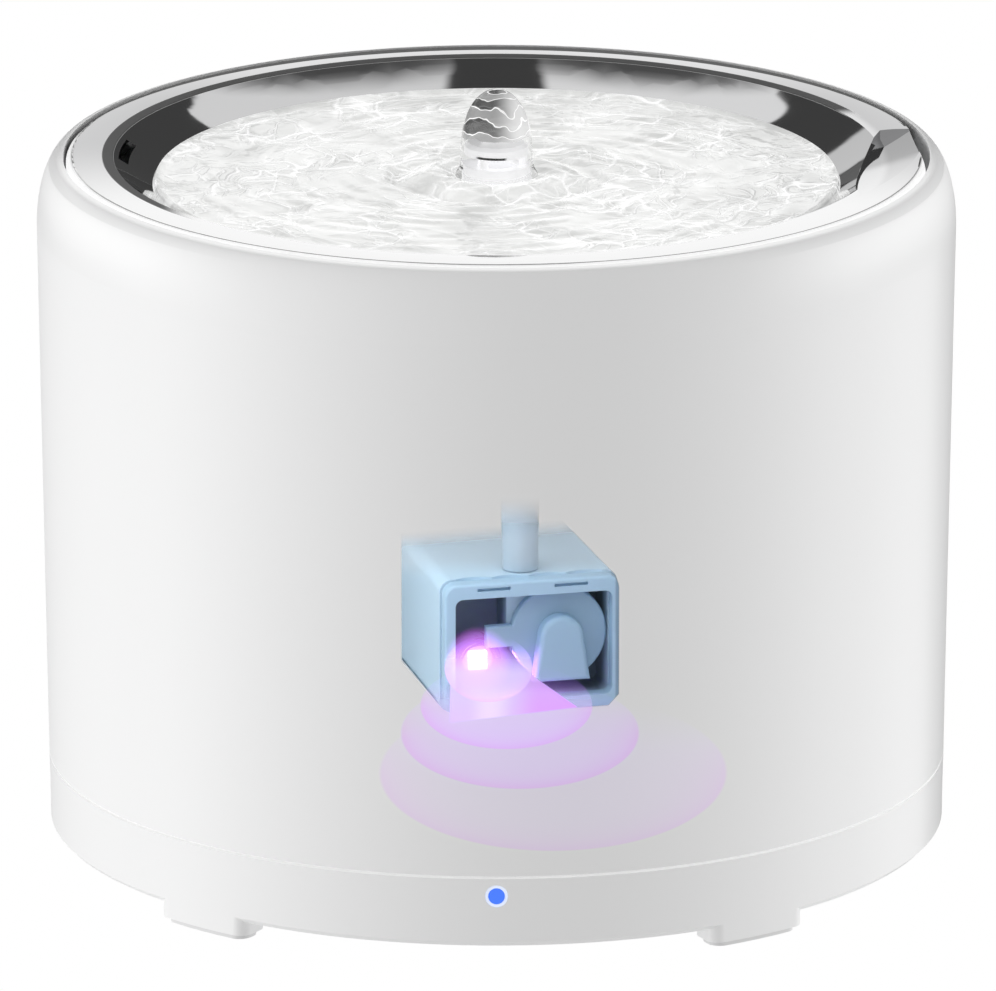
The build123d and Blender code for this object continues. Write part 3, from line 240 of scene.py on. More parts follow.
def varied(look, base, spread, scale):
    """A colour that drifts a little over the surface."""
    darker = colour(*[channel * (1 - spread) for channel in base])
    lighter = colour(*[min(1.0, channel * (1 + spread)) for channel in base])
    return look.mix(look.noise(scale), darker, lighter)


# ---------------------------------------------------------------- plain materials
def plastic(name, base, rough, spread=0.012, grain=900.0, grain_depth=0.00002, coat=0.0):
    """Moulded plastic or rubber with a fine grain."""
    look = Look(name)
    shader = look.principled(
        Base_Color=varied(look, base, spread, 30.0),
        Roughness=look.math("MULTIPLY_ADD", look.noise(120.0), 0.06, rough),
        Normal=look.bump(look.noise(grain, 2.0), 0.25, grain_depth),
        Coat_Weight=coat,
        Coat_Roughness=0.08,
    )
    return look.done(shader)


def metal(name, base, rough, spread=0.03, scale=200.0):
    look = Look(name)
    shader = look.principled(
        Base_Color=varied(look, base, spread, scale),
        Metallic=1.0,
        Roughness=look.math("MULTIPLY_ADD", look.noise(scale * 3), 0.08, rough),
    )
    return look.done(shader)


def glowing(name, base, light, strength):
    look = Look(name)
    shader = look.principled(
        Base_Color=varied(look, base, 0.02, 200.0),
        Roughness=0.25,
        Emission_Color=colour(*light),
        Emission_Strength=strength,
    )
    return look.done(shader)


def board_material():
    look = Look("board_green")
    cells = look.node("ShaderNodeTexVoronoi", Scale=420.0, Vector=look.place())
    trace = look.smooth(cells.outputs["Distance"], 0.35, 0.3)
    shade = look.mix(trace, colour(0.01, 0.16, 0.07), colour(0.02, 0.30, 0.13))
    shader = look.principled(Base_Color=shade, Roughness=0.35)
    return look.done(shader)


def winding_material():
    look = Look("copper_winding")
    wave = look.node("ShaderNodeTexWave", Scale=900.0, Vector=look.place())
    shade = look.mix(wave.outputs["Fac"], colour(0.45, 0.17, 0.06), colour(0.85, 0.42, 0.2))
    shader = look.principled(Base_Color=shade, Metallic=0.9, Roughness=0.3)
    return look.done(shader)


def granule_material():
    look = Look("filter_granules")
    cells = look.node("ShaderNodeTexVoronoi", Scale=600.0, Vector=look.place())
    grain = cells.outputs["Distance"]
    shade = look.mix(grain, colour(0.02, 0.02, 0.02), colour(0.2, 0.2, 0.2))
    shader = look.principled(Base_Color=shade, Roughness=0.7, Normal=look.bump(grain, 0.8, 0.001))
    return look.done(shader)


def window_material():
    """Clear, faintly violet plastic over the lamp."""
    look = Look("lamp_window")
    shader = look.principled(
        Base_Color=colour(0.93, 0.80, 1.0),
        Roughness=look.math("MULTIPLY", look.noise(60.0), 0.02),
        IOR=1.15,
        Transmission_Weight=1.0,
    )
    return look.done(shader)


NOZZLE_WHITE = (0.93, 0.93, 0.94)
# Painted dark reflection of the water's edge on the nozzle: colour, drop under the top, thickness,
# middle and half widths
NOZZLE_REFLECTION = colour(0.02, 0.02, 0.02)
NOZZLE_LINE_DROP = 2.1
NOZZLE_LINE_THICKNESS = (0.32, 0.18)
NOZZLE_LINE_MIDDLE = -1.0
NOZZLE_LINE_HALF = (3.4, 2.4)


def nozzle_material():
    """White plastic with a painted dark reflection of the water's edge under the front of its top,
    and a painted glow.
    """
    look = Look("nozzle_white")
    place = look.place()
    drop = look.math("ADD", look.height(place), NOZZLE_LINE_DROP - 1000 * NOZZLE_TOP)
    aside = look.absolute(look.math("ADD", look.east(place), -NOZZLE_LINE_MIDDLE))
    line = look.smooth(look.absolute(drop), *NOZZLE_LINE_THICKNESS)
    line = look.product(line, look.smooth(aside, *NOZZLE_LINE_HALF))
    tone = look.mix(line, varied(look, NOZZLE_WHITE, 0.01, 60.0), NOZZLE_REFLECTION)
    shader = look.principled(
        Base_Color=tone,
        Roughness=0.2,
        # Painted glow: the nozzle gives off a quarter of its colour as light
        Emission_Color=tone,
        Emission_Strength=0.25,
    )
    return look.done(shader)


# ---------------------------------------------------------------- tank, with the pump seen in it
WINDOW_SOFT = 0.3
PUMP_OUTLINE = [
    (-18.8, -35.0),
    (-18.8, -9.6),
    (-17.0, -9.1),
    (13.0, -7.1),
    (23.6, -17.9),
    (24.3, -20.0),
    (24.3, -41.6),
    (22.3, -43.8),
    (-8.0, -45.8),
    (-10.6, -44.6),
]
SPOUT_OUTLINE = [(1.1, -18.0), (1.1, -2.0), (8.3, -2.0), (8.3, -18.0)]
# Steps in how clearly the pump shows, downwards from its back edge, which slopes in the view
BACK_EDGE_SLOPE = -0.083
BACK_EDGE_FADE = (-7.6, -11.4, 0.84)
FRONT_EDGE_FADE = (-14.0, -19.0, 0.16)
SPOUT_FADE = (-2.0, -9.0, 0.84)
# Painted white glow over the pump's top: where it starts and ends upward, and its strength
TOP_GLOW = (-19.5, -15.0, 0.06)

# Rings of lamp light on the tank's front: middle, half sizes, pink shade at the edge and in the
# fill, violet light, white light, and how much the ring hides the pump
GLOW_RINGS = [
    (-1.6, -36.5, 8.8, 6.8, 0.30, 0.00, 0.40, 0.13, 0.75),
    (2.0, -44.0, 17.2, 8.7, 0.28, 0.08, 0.13, 0.025, 0.45),
    (4.7, -49.5, 23.8, 11.2, 0.26, 0.05, 0.11, 0.00, 0.00),
    (11.4, -57.6, 34.8, 15.6, 0.16, 0.03, 0.06, 0.00, 0.00),
]
# Squared distance from a ring's middle at which its light starts and is full
GLOW_EDGE = (1.02, 0.97)
GLOW_OUTSIDE = (0.97, 1.02)
GLOW_EDGE_POWER = 3.0
# Where a ring's pink and its light start, from its middle up in shares of its half height
PINK_START = (0.6, -0.2)
LIGHT_START = (0.95, 0.2)
# The beam from the lamp to the rings
BEAM_OUTLINE = [(-9.1, -38.0), (3.0, -35.2), (15.7, -44.2), (-9.1, -47.2)]
BEAM_SOFT = 0.35
BEAM_MIDDLE = -1.3
BEAM_CORE = (5.0, 0.0)
BEAM_PINK_SIDE = (1.0, 9.0)
BEAM_PINK = 0.50
BEAM_VIOLET = 0.25
BEAM_WHITE = 0.14
BEAM_VEIL = 0.85
# Light round the lamp: middle and half sizes
HALO = (-3.7, -35.4, 7.3, 7.6)
HALO_LIGHT = 1.2

TANK_WHITE = (0.93, 0.93, 0.93)
GLOW_PINK = colour(0.93, 0.30, 0.95)
GLOW_VIOLET = colour(0.28, 0.0, 1.0)
HALO_VIOLET = colour(0.62, 0.22, 0.92)
FRONT_SIDE = (-40.0, -60.0)
INSIDE_RADIUS = (91.3, 91.1)
# Painted white light on the tank: in the seam, on the front lip of its mouth and on the ends of
# its shoulder
SEAM_WIDTH = 0.06
SEAM_LIGHT = 0.35
LIP_RADIUS = (89.9, 88.8)
LIP_HEIGHT = (142.0, 143.4, 0.30)
LIP_FRONT = (10.0, -25.0)
SHOULDER_HEIGHT = (130.0, 141.0, 0.13)
SHOULDER_SIDES = (45.0, 88.0)


def front_plane(look, place):
    """Sideways and upward millimetres on the tank's front, seen along a line that falls back."""
    upward = look.along(place, 0.0, math.sin(VIEW_RISE), math.cos(VIEW_RISE))
    middle = 1000.0 * TARGET.z * math.cos(VIEW_RISE)
    return look.east(place), look.math("SUBTRACT", upward, middle)


def polygon(look, across, upward, corners, soft):
    """1 inside a convex outline of corners listed clockwise, 0 outside it."""
    inside = 1.0
    for (start_x, start_y), (end_x, end_y) in zip(corners, corners[1:] + corners[:1]):
        length = math.hypot(end_x - start_x, end_y - start_y)
        normal_x = (start_y - end_y) / length
        normal_y = (end_x - start_x) / length
        limit = normal_x * start_x + normal_y * start_y
        reach = look.math("MULTIPLY_ADD", across, normal_x, look.product(upward, normal_y))
        inside = look.product(inside, look.smooth(reach, limit + soft, limit))
    return inside


def ellipse(look, across, upward, middle_x, middle_y, half_x, half_y):
    """Squared distance from the middle in units of the ellipse's own radius."""
    east = look.math("DIVIDE", look.math("SUBTRACT", across, middle_x), half_x)
    north = look.math("DIVIDE", look.math("SUBTRACT", upward, middle_y), half_y)
    return look.math("ADD", look.product(east, east), look.product(north, north))


def pump_window(look, across, upward):
    """How clearly the pump shows through the tank's front, and a painted white glow over its top.
    """
    block = polygon(look, across, upward, PUMP_OUTLINE, WINDOW_SOFT)
    spout = polygon(look, across, upward, SPOUT_OUTLINE, WINDOW_SOFT)
    fall = look.math("MULTIPLY_ADD", across, BACK_EDGE_SLOPE, upward)
    back_edge = look.smooth(fall, *BACK_EDGE_FADE)
    clear = look.math("ADD", back_edge, look.smooth(upward, *FRONT_EDGE_FADE))
    block = look.product(block, clear)
    tip = look.product(spout, look.smooth(upward, *SPOUT_FADE))
    veil = look.product(block, look.smooth(upward, *TOP_GLOW))
    return look.largest(block, look.product(spout, clear), tip), veil


def lamp_glow(look, across, upward, front):
    """Pink shade, violet light and white light of the rings, and how much they hide the pump."""
    pink, violet, white, cover = 0.0, 0.0, 0.0, 0.0
    for x, y, half_x, half_y, edge, fill, violet_light, white_light, veil in GLOW_RINGS:
        distance = ellipse(look, across, upward, x, y, half_x, half_y)
        inside = look.product(look.smooth(distance, *GLOW_EDGE), front)
        lower = look.smooth(upward, *[y + half_y * share for share in PINK_START])
        lower = look.product(inside, lower)
        lit = look.smooth(upward, *[y + half_y * share for share in LIGHT_START])
        lit = look.product(inside, lit)
        depth = look.math("POWER", distance, GLOW_EDGE_POWER)
        depth = look.math("MULTIPLY_ADD", depth, edge, fill)
        pink = look.math("MULTIPLY_ADD", lower, depth, pink)
        violet = look.math("MULTIPLY_ADD", lit, violet_light, violet)
        white = look.math("MULTIPLY_ADD", lit, white_light, white)
        cover = look.math("MULTIPLY_ADD", lower, veil, cover)
    beam = polygon(look, across, upward, BEAM_OUTLINE, BEAM_SOFT)
    inmost = ellipse(look, across, upward, *GLOW_RINGS[0][:4])
    beam = look.product(beam, look.smooth(inmost, *GLOW_OUTSIDE), front)
    side = look.product(look.smooth(across, *BEAM_PINK_SIDE), beam)
    pink = look.math("MULTIPLY_ADD", side, BEAM_PINK, pink)
    violet = look.math("MULTIPLY_ADD", beam, BEAM_VIOLET, violet)
    aside = look.absolute(look.math("ADD", across, -BEAM_MIDDLE))
    white = look.math("MULTIPLY_ADD", beam, look.smooth(aside, *BEAM_CORE, BEAM_WHITE), white)
    cover = look.math("MULTIPLY_ADD", beam, BEAM_VEIL, cover)
    return pink, violet, white, cover


def lamp_halo(look, across, upward, front):
    """Light round the lamp, strongest at its middle."""
    distance = ellipse(look, across, upward, *HALO)
    return look.product(look.smooth(distance, 1.0, 0.0, HALO_LIGHT), front)


def tank_lines(look, place, outside):
    """White light on the seam, the lip and the shoulder's ends."""
    radius = look.radius(place)
    height = look.height(place)
    seam = look.smooth(height, SEAM_HIGH + SEAM_WIDTH, SEAM_HIGH, SEAM_LIGHT)
    lip = look.product(
        look.smooth(radius, *LIP_RADIUS),
        look.smooth(height, *LIP_HEIGHT),
        look.smooth(look.north(place), *LIP_FRONT),
    )
    aside = look.smooth(look.absolute(look.east(place)), *SHOULDER_SIDES)
    shoulder = look.product(look.smooth(height, *SHOULDER_HEIGHT), aside, outside)
    return look.largest(seam, lip, shoulder)


def tank_material():
    """White plastic that shows the pump behind its front, with the lamp's lilac rings of light."""
    look = Look("tank_white")
    place = look.place()
    across, upward = front_plane(look, place)
    front = look.smooth(look.north(place), *FRONT_SIDE)
    inner_wall = look.smooth(look.radius(place), *INSIDE_RADIUS)
    outside = look.math("SUBTRACT", 1.0, inner_wall)
    clear, veil = pump_window(look, across, upward)
    pink, violet, bright, cover = lamp_glow(look, across, upward, front)
    halo = look.product(lamp_halo(look, across, upward, front), outside)
    halo = look.product(halo, look.math("SUBTRACT", 1.0, look.math("MINIMUM", cover, 1.0)))
    # Painted white light: the seam, lip and shoulder lines and the glow over the pump's top
    lines = look.largest(tank_lines(look, place, outside), look.product(veil, front, outside))

    opening = look.product(inner_wall, look.math("GREATER_THAN", clear, 0.0))
    clear = look.math("MULTIPLY", clear, look.math("SUBTRACT", 1.0, cover), clamp=True)
    window = look.product(look.largest(clear, opening), front)
    white = look.mix(pink, varied(look, TANK_WHITE, 0.006, 25.0), GLOW_PINK)
    shader = look.principled(Base_Color=white, Roughness=0.28)
    through = look.node("ShaderNodeBsdfTransparent", Color=WHITE).outputs[0]
    light = look.emission(GLOW_VIOLET, look.product(violet, outside))
    light = look.add_shaders(light, look.emission(WHITE, look.product(bright, outside)))
    light = look.add_shaders(light, look.emission(HALO_VIOLET, halo))
    light = look.add_shaders(light, look.emission(WHITE, lines))
    return look.done(look.add_shaders(look.mix_shaders(window, shader, through), light))


# ---------------------------------------------------------------- steel tray
# The painted dark reflection in a crescent at the back of the crest, wider to the back
CRESCENT_RADIUS = (86.9, 87.2)
CRESCENT_MIDDLE = 15.0
CRESCENT_TILT = 0.0575
# The painted dark reflection in a band inside the crest, at the back and the left
BAND_OUTSIDE = (80.6, 80.2)
BAND_INSIDE = (77.9, 78.1)
BAND_BACK = (28.0, 36.0)
BAND_LEFT = (-58.0, -68.0)
# The painted pale reflection on the edge and crease at the front
EDGE_RADIUS = (86.3, 86.9)
EDGE_FRONT = (26.0, 8.0)
CREASE_INSIDE = (77.3, 77.7)
CREASE_OUTSIDE = (79.3, 78.7)
CREASE_FRONT = (-50.0, -68.0)
# Painted reflection in the mirror's colour: darker on its flanks and lighter at the front
FRONT_STEEL = (10.0, -45.0)
FLANK_SIDES = (40.0, 74.0)
FLANK_RADIUS = (78.5, 80.5)
STEEL_GREY = (0.71, 0.71, 0.715)
STEEL_FLANK_REFLECTION = colour(0.50, 0.50, 0.505)
STEEL_FRONT_REFLECTION = colour(0.92, 0.92, 0.92)
# Colours of the painted reflections, pale and dark, and how much the pale ones glow
REFLECTION_PALE = colour(0.93, 0.93, 0.93)
REFLECTION_DARK = colour(0.075, 0.075, 0.075)
REFLECTION_GLOW = 0.30


# Painted dark reflections: the crescent at the back and the band at the back and left
def painted_dark_reflections(look, radius, east, north):
    back = look.math("SUBTRACT", north, CRESCENT_MIDDLE)
    crescent = look.math("MULTIPLY_ADD", back, CRESCENT_TILT, radius)
    behind = look.largest(look.smooth(north, *BAND_BACK), look.smooth(east, *BAND_LEFT))
    band = look.product(look.smooth(radius, *BAND_OUTSIDE), look.smooth(radius, *BAND_INSIDE))
    return look.largest(look.smooth(crescent, *CRESCENT_RADIUS), look.product(band, behind))


# Painted pale reflections on the front edge and crease
def painted_pale_reflections(look, radius, north):
    edge = look.product(look.smooth(radius, *EDGE_RADIUS), look.smooth(north, *EDGE_FRONT))
    crease = look.product(
        look.smooth(radius, *CREASE_INSIDE),
        look.smooth(radius, *CREASE_OUTSIDE),
        look.smooth(north, *CREASE_FRONT),
    )
    return look.largest(edge, crease)


def steel_material():
    """Mirror-polished steel with painted reflections: dark bands at the back, a glowing pale front
    edge, darker flanks and a lighter front.
    """
    look = Look("polished_steel")
    place = look.place()
    radius = look.radius(place)
    east = look.east(place)
    north = look.north(place)
    dark = painted_dark_reflections(look, radius, east, north)
    edges = painted_pale_reflections(look, radius, north)
    sides = look.smooth(look.absolute(east), *FLANK_SIDES)
    flank = look.product(sides, look.smooth(radius, *FLANK_RADIUS))
    steel = look.mix(flank, varied(look, STEEL_GREY, 0.01, 40.0), STEEL_FLANK_REFLECTION)
    steel = look.mix(look.smooth(north, *FRONT_STEEL), steel, STEEL_FRONT_REFLECTION)
    mirror = look.principled(
        Base_Color=steel,
        Metallic=1.0,
        Roughness=look.math("MULTIPLY_ADD", look.noise(260.0, 4.0), 0.02, 0.035),
    )
    # The painted reflections, drawn as a rough surface with their own colour and glow
    painted_reflection = look.principled(
        Base_Color=look.mix(dark, REFLECTION_PALE, REFLECTION_DARK),
        Roughness=0.4,
        Specular_IOR_Level=0.1,
        Emission_Color=WHITE,
        Emission_Strength=look.product(look.math("SUBTRACT", 1.0, dark), REFLECTION_GLOW),
    )
    return look.done(look.mix_shaders(look.largest(edges, dark), mirror, painted_reflection))


# ---------------------------------------------------------------- water's materials
# Painted grey shade and pale light of the water's patches
WATER_GREY = colour(0.75, 0.755, 0.745)
WATER_PALE = colour(0.93, 0.935, 0.925)
WATER_BEND = 0.016
RING_SPACING = 0.0095
RING_WANDER = 7.0
RING_LINE = (0.30, 0.0)
RING_LIGHT = 0.55
# Steps in noise from 0 to 1: where the painted highlight lines show, and where painted grey shade
# gives way to pale
LINE_PATCHES = (0.36, 0.62)
PALE_PATCHES = (0.30, 0.62)
# Nets of painted highlight lines: cells to the metre, width of the lines and how bright they are
WATER_NETS = [(110.0, 0.09, 0.65), (240.0, 0.12, 0.30)]


def painted_water_highlights(look, place, bent):
    """Painted highlights: bright lines in rings round the nozzle and in two nets, with calm
    patches.
    """
    turns = look.math("MULTIPLY", look.vector("LENGTH", bent), 2 * math.pi / RING_SPACING)
    wander = look.noise(55.0, 1.0, 0.5, place)
    turns = look.math("MULTIPLY_ADD", wander, RING_WANDER, turns)
    ring = look.smooth(look.absolute(look.math("SINE", turns)), *RING_LINE)
    net = look.product(ring, RING_LIGHT)
    for scale, width, light in WATER_NETS:
        cells = look.tree.nodes.new("ShaderNodeTexVoronoi")
        cells.feature = "DISTANCE_TO_EDGE"
        look.put(cells, "Vector", bent)
        look.put(cells, "Scale", scale)
        line = look.smooth(cells.outputs["Distance"], width, 0.0)
        net = look.math("MULTIPLY_ADD", line, light, net)
    shown = look.smooth(look.noise(50.0, 2.0, 0.5, place), *LINE_PATCHES)
    return look.product(net, shown)


def water_material():
    """Moving water with painted light: highlight lines in rings and cells over grey shade and pale
    patches, all glowing.
    """
    look = Look("moving_water")
    place = look.vector("MULTIPLY", look.place(), (1.0, 1.0, 0.0))
    drift = look.node("ShaderNodeTexNoise", Scale=70.0, Detail=1.0, Vector=place).outputs["Color"]
    drift = look.vector("SUBTRACT", drift, (0.5, 0.5, 0.5))
    drift = look.vector("MULTIPLY", drift, (WATER_BEND, WATER_BEND, 0.0))
    bent = look.vector("ADD", place, drift)
    net = painted_water_highlights(look, place, bent)
    patch = look.smooth(look.noise(75.0, 1.5, 0.5, bent), *PALE_PATCHES)
    tone = look.mix(patch, WATER_GREY, WATER_PALE)
    tone = look.mix(look.math("MINIMUM", net, 1.0), tone, WHITE)
    height = look.math("MULTIPLY_ADD", net, 0.5, look.noise(150.0, 1.5, 0.5, bent))
    shader = look.principled(
        Base_Color=tone,
        Roughness=0.08,
        IOR=1.33,
        Normal=look.bump(height, 0.6, 0.0012),
        # Painted glow: the water gives off its colour as light, more on the highlight lines
        Emission_Color=tone,
        Emission_Strength=look.math("MULTIPLY_ADD", net, 0.20, 0.28),
    )
    return look.done(shader)


# Painted reflections on the dome: colours of the dark and grey bands, the lighter right side and
# the pale lines, their glow, and how much they cover the clear water
STREAK_DARK = colour(0.05, 0.05, 0.05)
STREAK_GREY = colour(0.30, 0.30, 0.30)
STREAK_RIGHT = colour(0.62, 0.62, 0.62)
STREAK_LINE = colour(0.95, 0.95, 0.95)
STREAK_LIGHT = 0.45
STREAK_COVER = 0.88
STREAK_TURNS = 1.5
STREAK_WAVER = 9.0
STREAK_STEP = (-0.35, 0.25)
STREAK_RIGHT_SIDE = (-1.0, 4.5)
# The pale lines: the wave's value at their middle, and their width in it
STREAK_LINE_VALUE = 0.1
STREAK_LINE_WIDTH = (0.22, 0.05)
# Millimetres over the nozzle at which the streaks start, least and as far as it wavers
STREAK_FOOT = 0.4
STREAK_FOOT_WAVER = 3.0
STREAK_FOOT_STEP = (-0.15, 0.15)


def dome_reflection_tone(look, place):
    """Painted reflections: wavering bands of two greys with pale lines between, lighter to the
    right.
    """
    waver = look.product(look.noise(170.0, 2.0), STREAK_WAVER)
    phase = look.math("MULTIPLY_ADD", look.height(place), STREAK_TURNS, waver)
    wave = look.math("SINE", phase)
    tone = look.mix(look.smooth(wave, *STREAK_STEP), STREAK_DARK, STREAK_GREY)
    right = look.smooth(look.east(place), *STREAK_RIGHT_SIDE)
    tone = look.mix(right, tone, STREAK_RIGHT)
    away = look.absolute(look.math("SUBTRACT", wave, STREAK_LINE_VALUE))
    return look.mix(look.smooth(away, *STREAK_LINE_WIDTH), tone, STREAK_LINE)


def dome_material():
    """Clear water with wavering grey and white reflections on its upper half."""
    look = Look("clear_water")
    place = look.place()
    tone = dome_reflection_tone(look, place)
    streaks = look.principled(
        Base_Color=tone,
        Roughness=0.05,
        Emission_Color=tone,
        Emission_Strength=STREAK_LIGHT,
    )
    clear = look.principled(
        Base_Color=WHITE,
        Roughness=0.0,
        IOR=1.12,
        Transmission_Weight=1.0,
        Normal=look.bump(look.noise(260.0, 1.0), 0.5, 0.0012),
    )
    rise = look.math("SUBTRACT", look.height(place), 1000 * NOZZLE_TOP)
    foot = look.math("MULTIPLY_ADD", look.noise(220.0, 1.0), STREAK_FOOT_WAVER, STREAK_FOOT)
    over = look.math("SUBTRACT", rise, foot)
    upper = look.smooth(over, *STREAK_FOOT_STEP, STREAK_COVER)
    return look.done(look.mix_shaders(upper, clear, streaks))


# ---------------------------------------------------------------- pump, in its own turned frame
PUMP_X = 4.9
PUMP_TURN = math.radians(13.5)
PUMP_MIDDLE = 0.6
BAY_HALF = 17.0
BAY_MOUTH = -4.5
BAY_END = 2.0
FRAME_BACK = -4.9
# Painted shade in the intake bay, on the frame's face and on its right bar, and how strongly the
# last two cover the blue
BAY_SHADE = colour(0.07, 0.10, 0.13)
FACE_SHADE = colour(0.36, 0.56, 0.73)
FACE_COVER = 0.75
BAR_SHADE = colour(0.12, 0.20, 0.30)
BAR_COVER = 0.60


def pump_plastic(name, base, bay_depth):
    """Satin blue plastic, with painted shade in the intake bay, on the frame's face and on its
    right bar, and a faint painted glow.
    """
    look = Look(name)
    place = look.place()
    east = look.along(place, math.cos(PUMP_TURN), math.sin(PUMP_TURN), 0.0)
    across = look.math("SUBTRACT", east, PUMP_X * math.cos(PUMP_TURN))
    north = look.along(place, -math.sin(PUMP_TURN), math.cos(PUMP_TURN), 0.0)
    inward = look.math("ADD", north, PUMP_X * math.sin(PUMP_TURN))
    from_middle = look.math("SUBTRACT", across, PUMP_MIDDLE)
    within = look.smooth(look.absolute(from_middle), BAY_HALF + 0.4, BAY_HALF)
    below = look.smooth(look.height(place), BAY_TOP + 0.4, BAY_TOP)
    depth = look.product(look.smooth(inward, BAY_MOUTH, BAY_END), within)
    bay = look.product(below, depth, bay_depth)
    tone = look.mix(bay, varied(look, base, 0.02, 30.0), BAY_SHADE)
    face = look.smooth(inward, FRAME_BACK, FRAME_BACK - 0.3, FACE_COVER)
    tone = look.mix(face, tone, FACE_SHADE)
    bar = look.smooth(from_middle, BAY_HALF + 0.2, BAY_HALF + 0.8, BAR_COVER)
    tone = look.mix(bar, tone, BAR_SHADE)
    shader = look.principled(
        Base_Color=tone,
        Roughness=look.math("MULTIPLY_ADD", look.noise(120.0), 0.06, 0.42),
        Normal=look.bump(look.noise(1600.0, 2.0), 0.25, 0.00002),
        # Painted glow: a faint light from the plastic's own colour
        Emission_Color=tone,
        Emission_Strength=0.03,
    )
    return look.done(shader)


SLOT_LOOKS = {
    "white_shell": lambda: plastic("base_white", (0.93, 0.93, 0.93), 0.26, spread=0.006, coat=0.1),
    "white_moulding": lambda: plastic("white_moulding", (0.84, 0.85, 0.86), 0.45),
    "foot_rubber": lambda: plastic("foot_rubber", (0.78, 0.78, 0.78), 0.75, 0.04, 2200.0),
    "screw_steel": lambda: metal("screw_steel", (0.62, 0.62, 0.64), 0.3),
    "circuit_board": board_material,
    "socket_shell": lambda: metal("socket_shell", (0.7, 0.7, 0.72), 0.25),
    "socket_tongue": lambda: plastic("socket_tongue", (0.02, 0.02, 0.02), 0.5, 0.2),
    "copper_winding": winding_material,
    "ferrite": lambda: plastic("ferrite", (0.04, 0.04, 0.045), 0.6, 0.25, 3000.0),
    "stator_steel": lambda: metal("stator_steel", (0.42, 0.42, 0.44), 0.45),
    "pilot_lens": lambda: glowing("pilot_blue", (0.03, 0.12, 0.9), (0.05, 0.16, 0.98), 0.75),
    "pilot_lamp": lambda: glowing("pilot_lamp", (0.6, 0.7, 0.9), (0.2, 0.4, 1.0), 2.0),
    "pilot_ring": lambda: glowing("pilot_halo", (0.8, 0.86, 0.98), (0.72, 0.8, 1.0), 0.35),
    "cartridge_plastic": lambda: plastic("cartridge_plastic", (0.86, 0.88, 0.9), 0.4),
    "filter_granules": granule_material,
    "felt": lambda: plastic("felt", (0.9, 0.9, 0.88), 0.95, 0.06, 2500.0, 0.0004),
    "polished_steel": steel_material,
    "nozzle_white": nozzle_material,
    "grommet_rubber": lambda: plastic("grommet_rubber", (0.82, 0.82, 0.83), 0.6),
    "pump_blue": lambda: pump_plastic("pump_blue", (0.53, 0.735, 0.88), 0.85),
    "pump_blue_deep": lambda: pump_plastic("pump_blue_deep", (0.30, 0.465, 0.61), 0.0),
    "impeller_plastic": lambda: plastic("impeller_plastic", (0.88, 0.89, 0.92), 0.35),
    "bush_rubber": lambda: plastic("bush_rubber", (0.05, 0.05, 0.05), 0.7, 0.2),
    "lamp_face": lambda: glowing("lamp_face", (1.0, 0.98, 1.0), (1.0, 0.97, 1.0), 3.0),
    "clear_window": window_material,
    "silicone": lambda: plastic("silicone", (0.38, 0.52, 0.63), 0.3),
}


def dress_frame():
    """Gives every CAD node its material, by its slot in the record."""
    made = {}
    for entry in frame["record"]["subparts"]:
        slot = entry["material_slot"]
        node = frame["nodes"][entry["node"]]
        if entry["node"] == "tank_shell":
            material = tank_material()
        else:
            if slot not in made:
                made[slot] = SLOT_LOOKS[slot]()
            material = made[slot]
        node.data.materials.clear()
        node.data.materials.append(material)


# ---------------------------------------------------------------- water's shapes
def finish_mesh(mesh, name, material, smooth=True):
    bmesh.ops.recalc_face_normals(mesh, faces=mesh.faces)
    data = bpy.data.meshes.new(name)
    mesh.to_mesh(data)
    mesh.free()
    if smooth:
        data.polygons.foreach_set("use_smooth", [True] * len(data.polygons))
    made = bpy.data.objects.new(name, data)
    bpy.context.scene.collection.objects.link(made)
    data.materials.append(material)
    return made


def angles(parts):
    """Angles of equal parts of a turn, in radians."""
    return [2 * math.pi * part / parts for part in range(parts)]


def make_ring(mesh, radius, heights):
    """Points round the axis, one for each height."""
    points = []
    for angle, height in zip(angles(len(heights)), heights):
        x = radius * math.cos(angle)
        y = radius * math.sin(angle)
        points.append(mesh.verts.new((x, y, height)))
    return points


def join_rings(mesh, first, second):
    """Faces between two rings, one of which may be a single point on the axis."""
    parts = max(len(first), len(second))
    for part in range(parts):
        after = (part + 1) % parts
        if len(first) == 1:
            mesh.faces.new((first[0], second[part], second[after]))
        elif len(second) == 1:
            mesh.faces.new((first[part], second[0], first[after]))
        else:
            mesh.faces.new((first[part], second[part], second[after], first[after]))


def dish_height(radius):
    """Height of the steel's upper face under the water."""
    if radius <= DISH_FLAT:
        return DISH_FLOOR
    return DISH_FLOOR + DISH_ARC - math.sqrt(DISH_ARC**2 - (radius - DISH_FLAT) ** 2)


def swell(radius, height, middle, width):
    """Height of a round wave that is highest at its middle radius."""
    return height * math.exp(-(((radius - middle) / width) ** 2))


def ripple(radius, angle):
    """Height of the moving surface above still water."""
    swirl = angle * SWIRL_ARMS + radius * SWIRL_PITCH
    rings = RING_HEIGHT * math.sin(radius * RING_PITCH + RING_BEND * math.sin(swirl))
    rings *= math.exp(-radius / RING_REACH)
    waves = WAVE_HEIGHT * math.sin(swirl * WAVE_SWIRLS)
    waves *= math.sin(radius * WAVE_PITCH + angle * WAVE_ARMS)
    edge = min(1.0, max(0.0, (WATER_RADIUS - radius) / CALM_EDGE))
    return swell(radius, *SPLASH) + swell(radius, *TROUGH) + (rings + waves) * edge


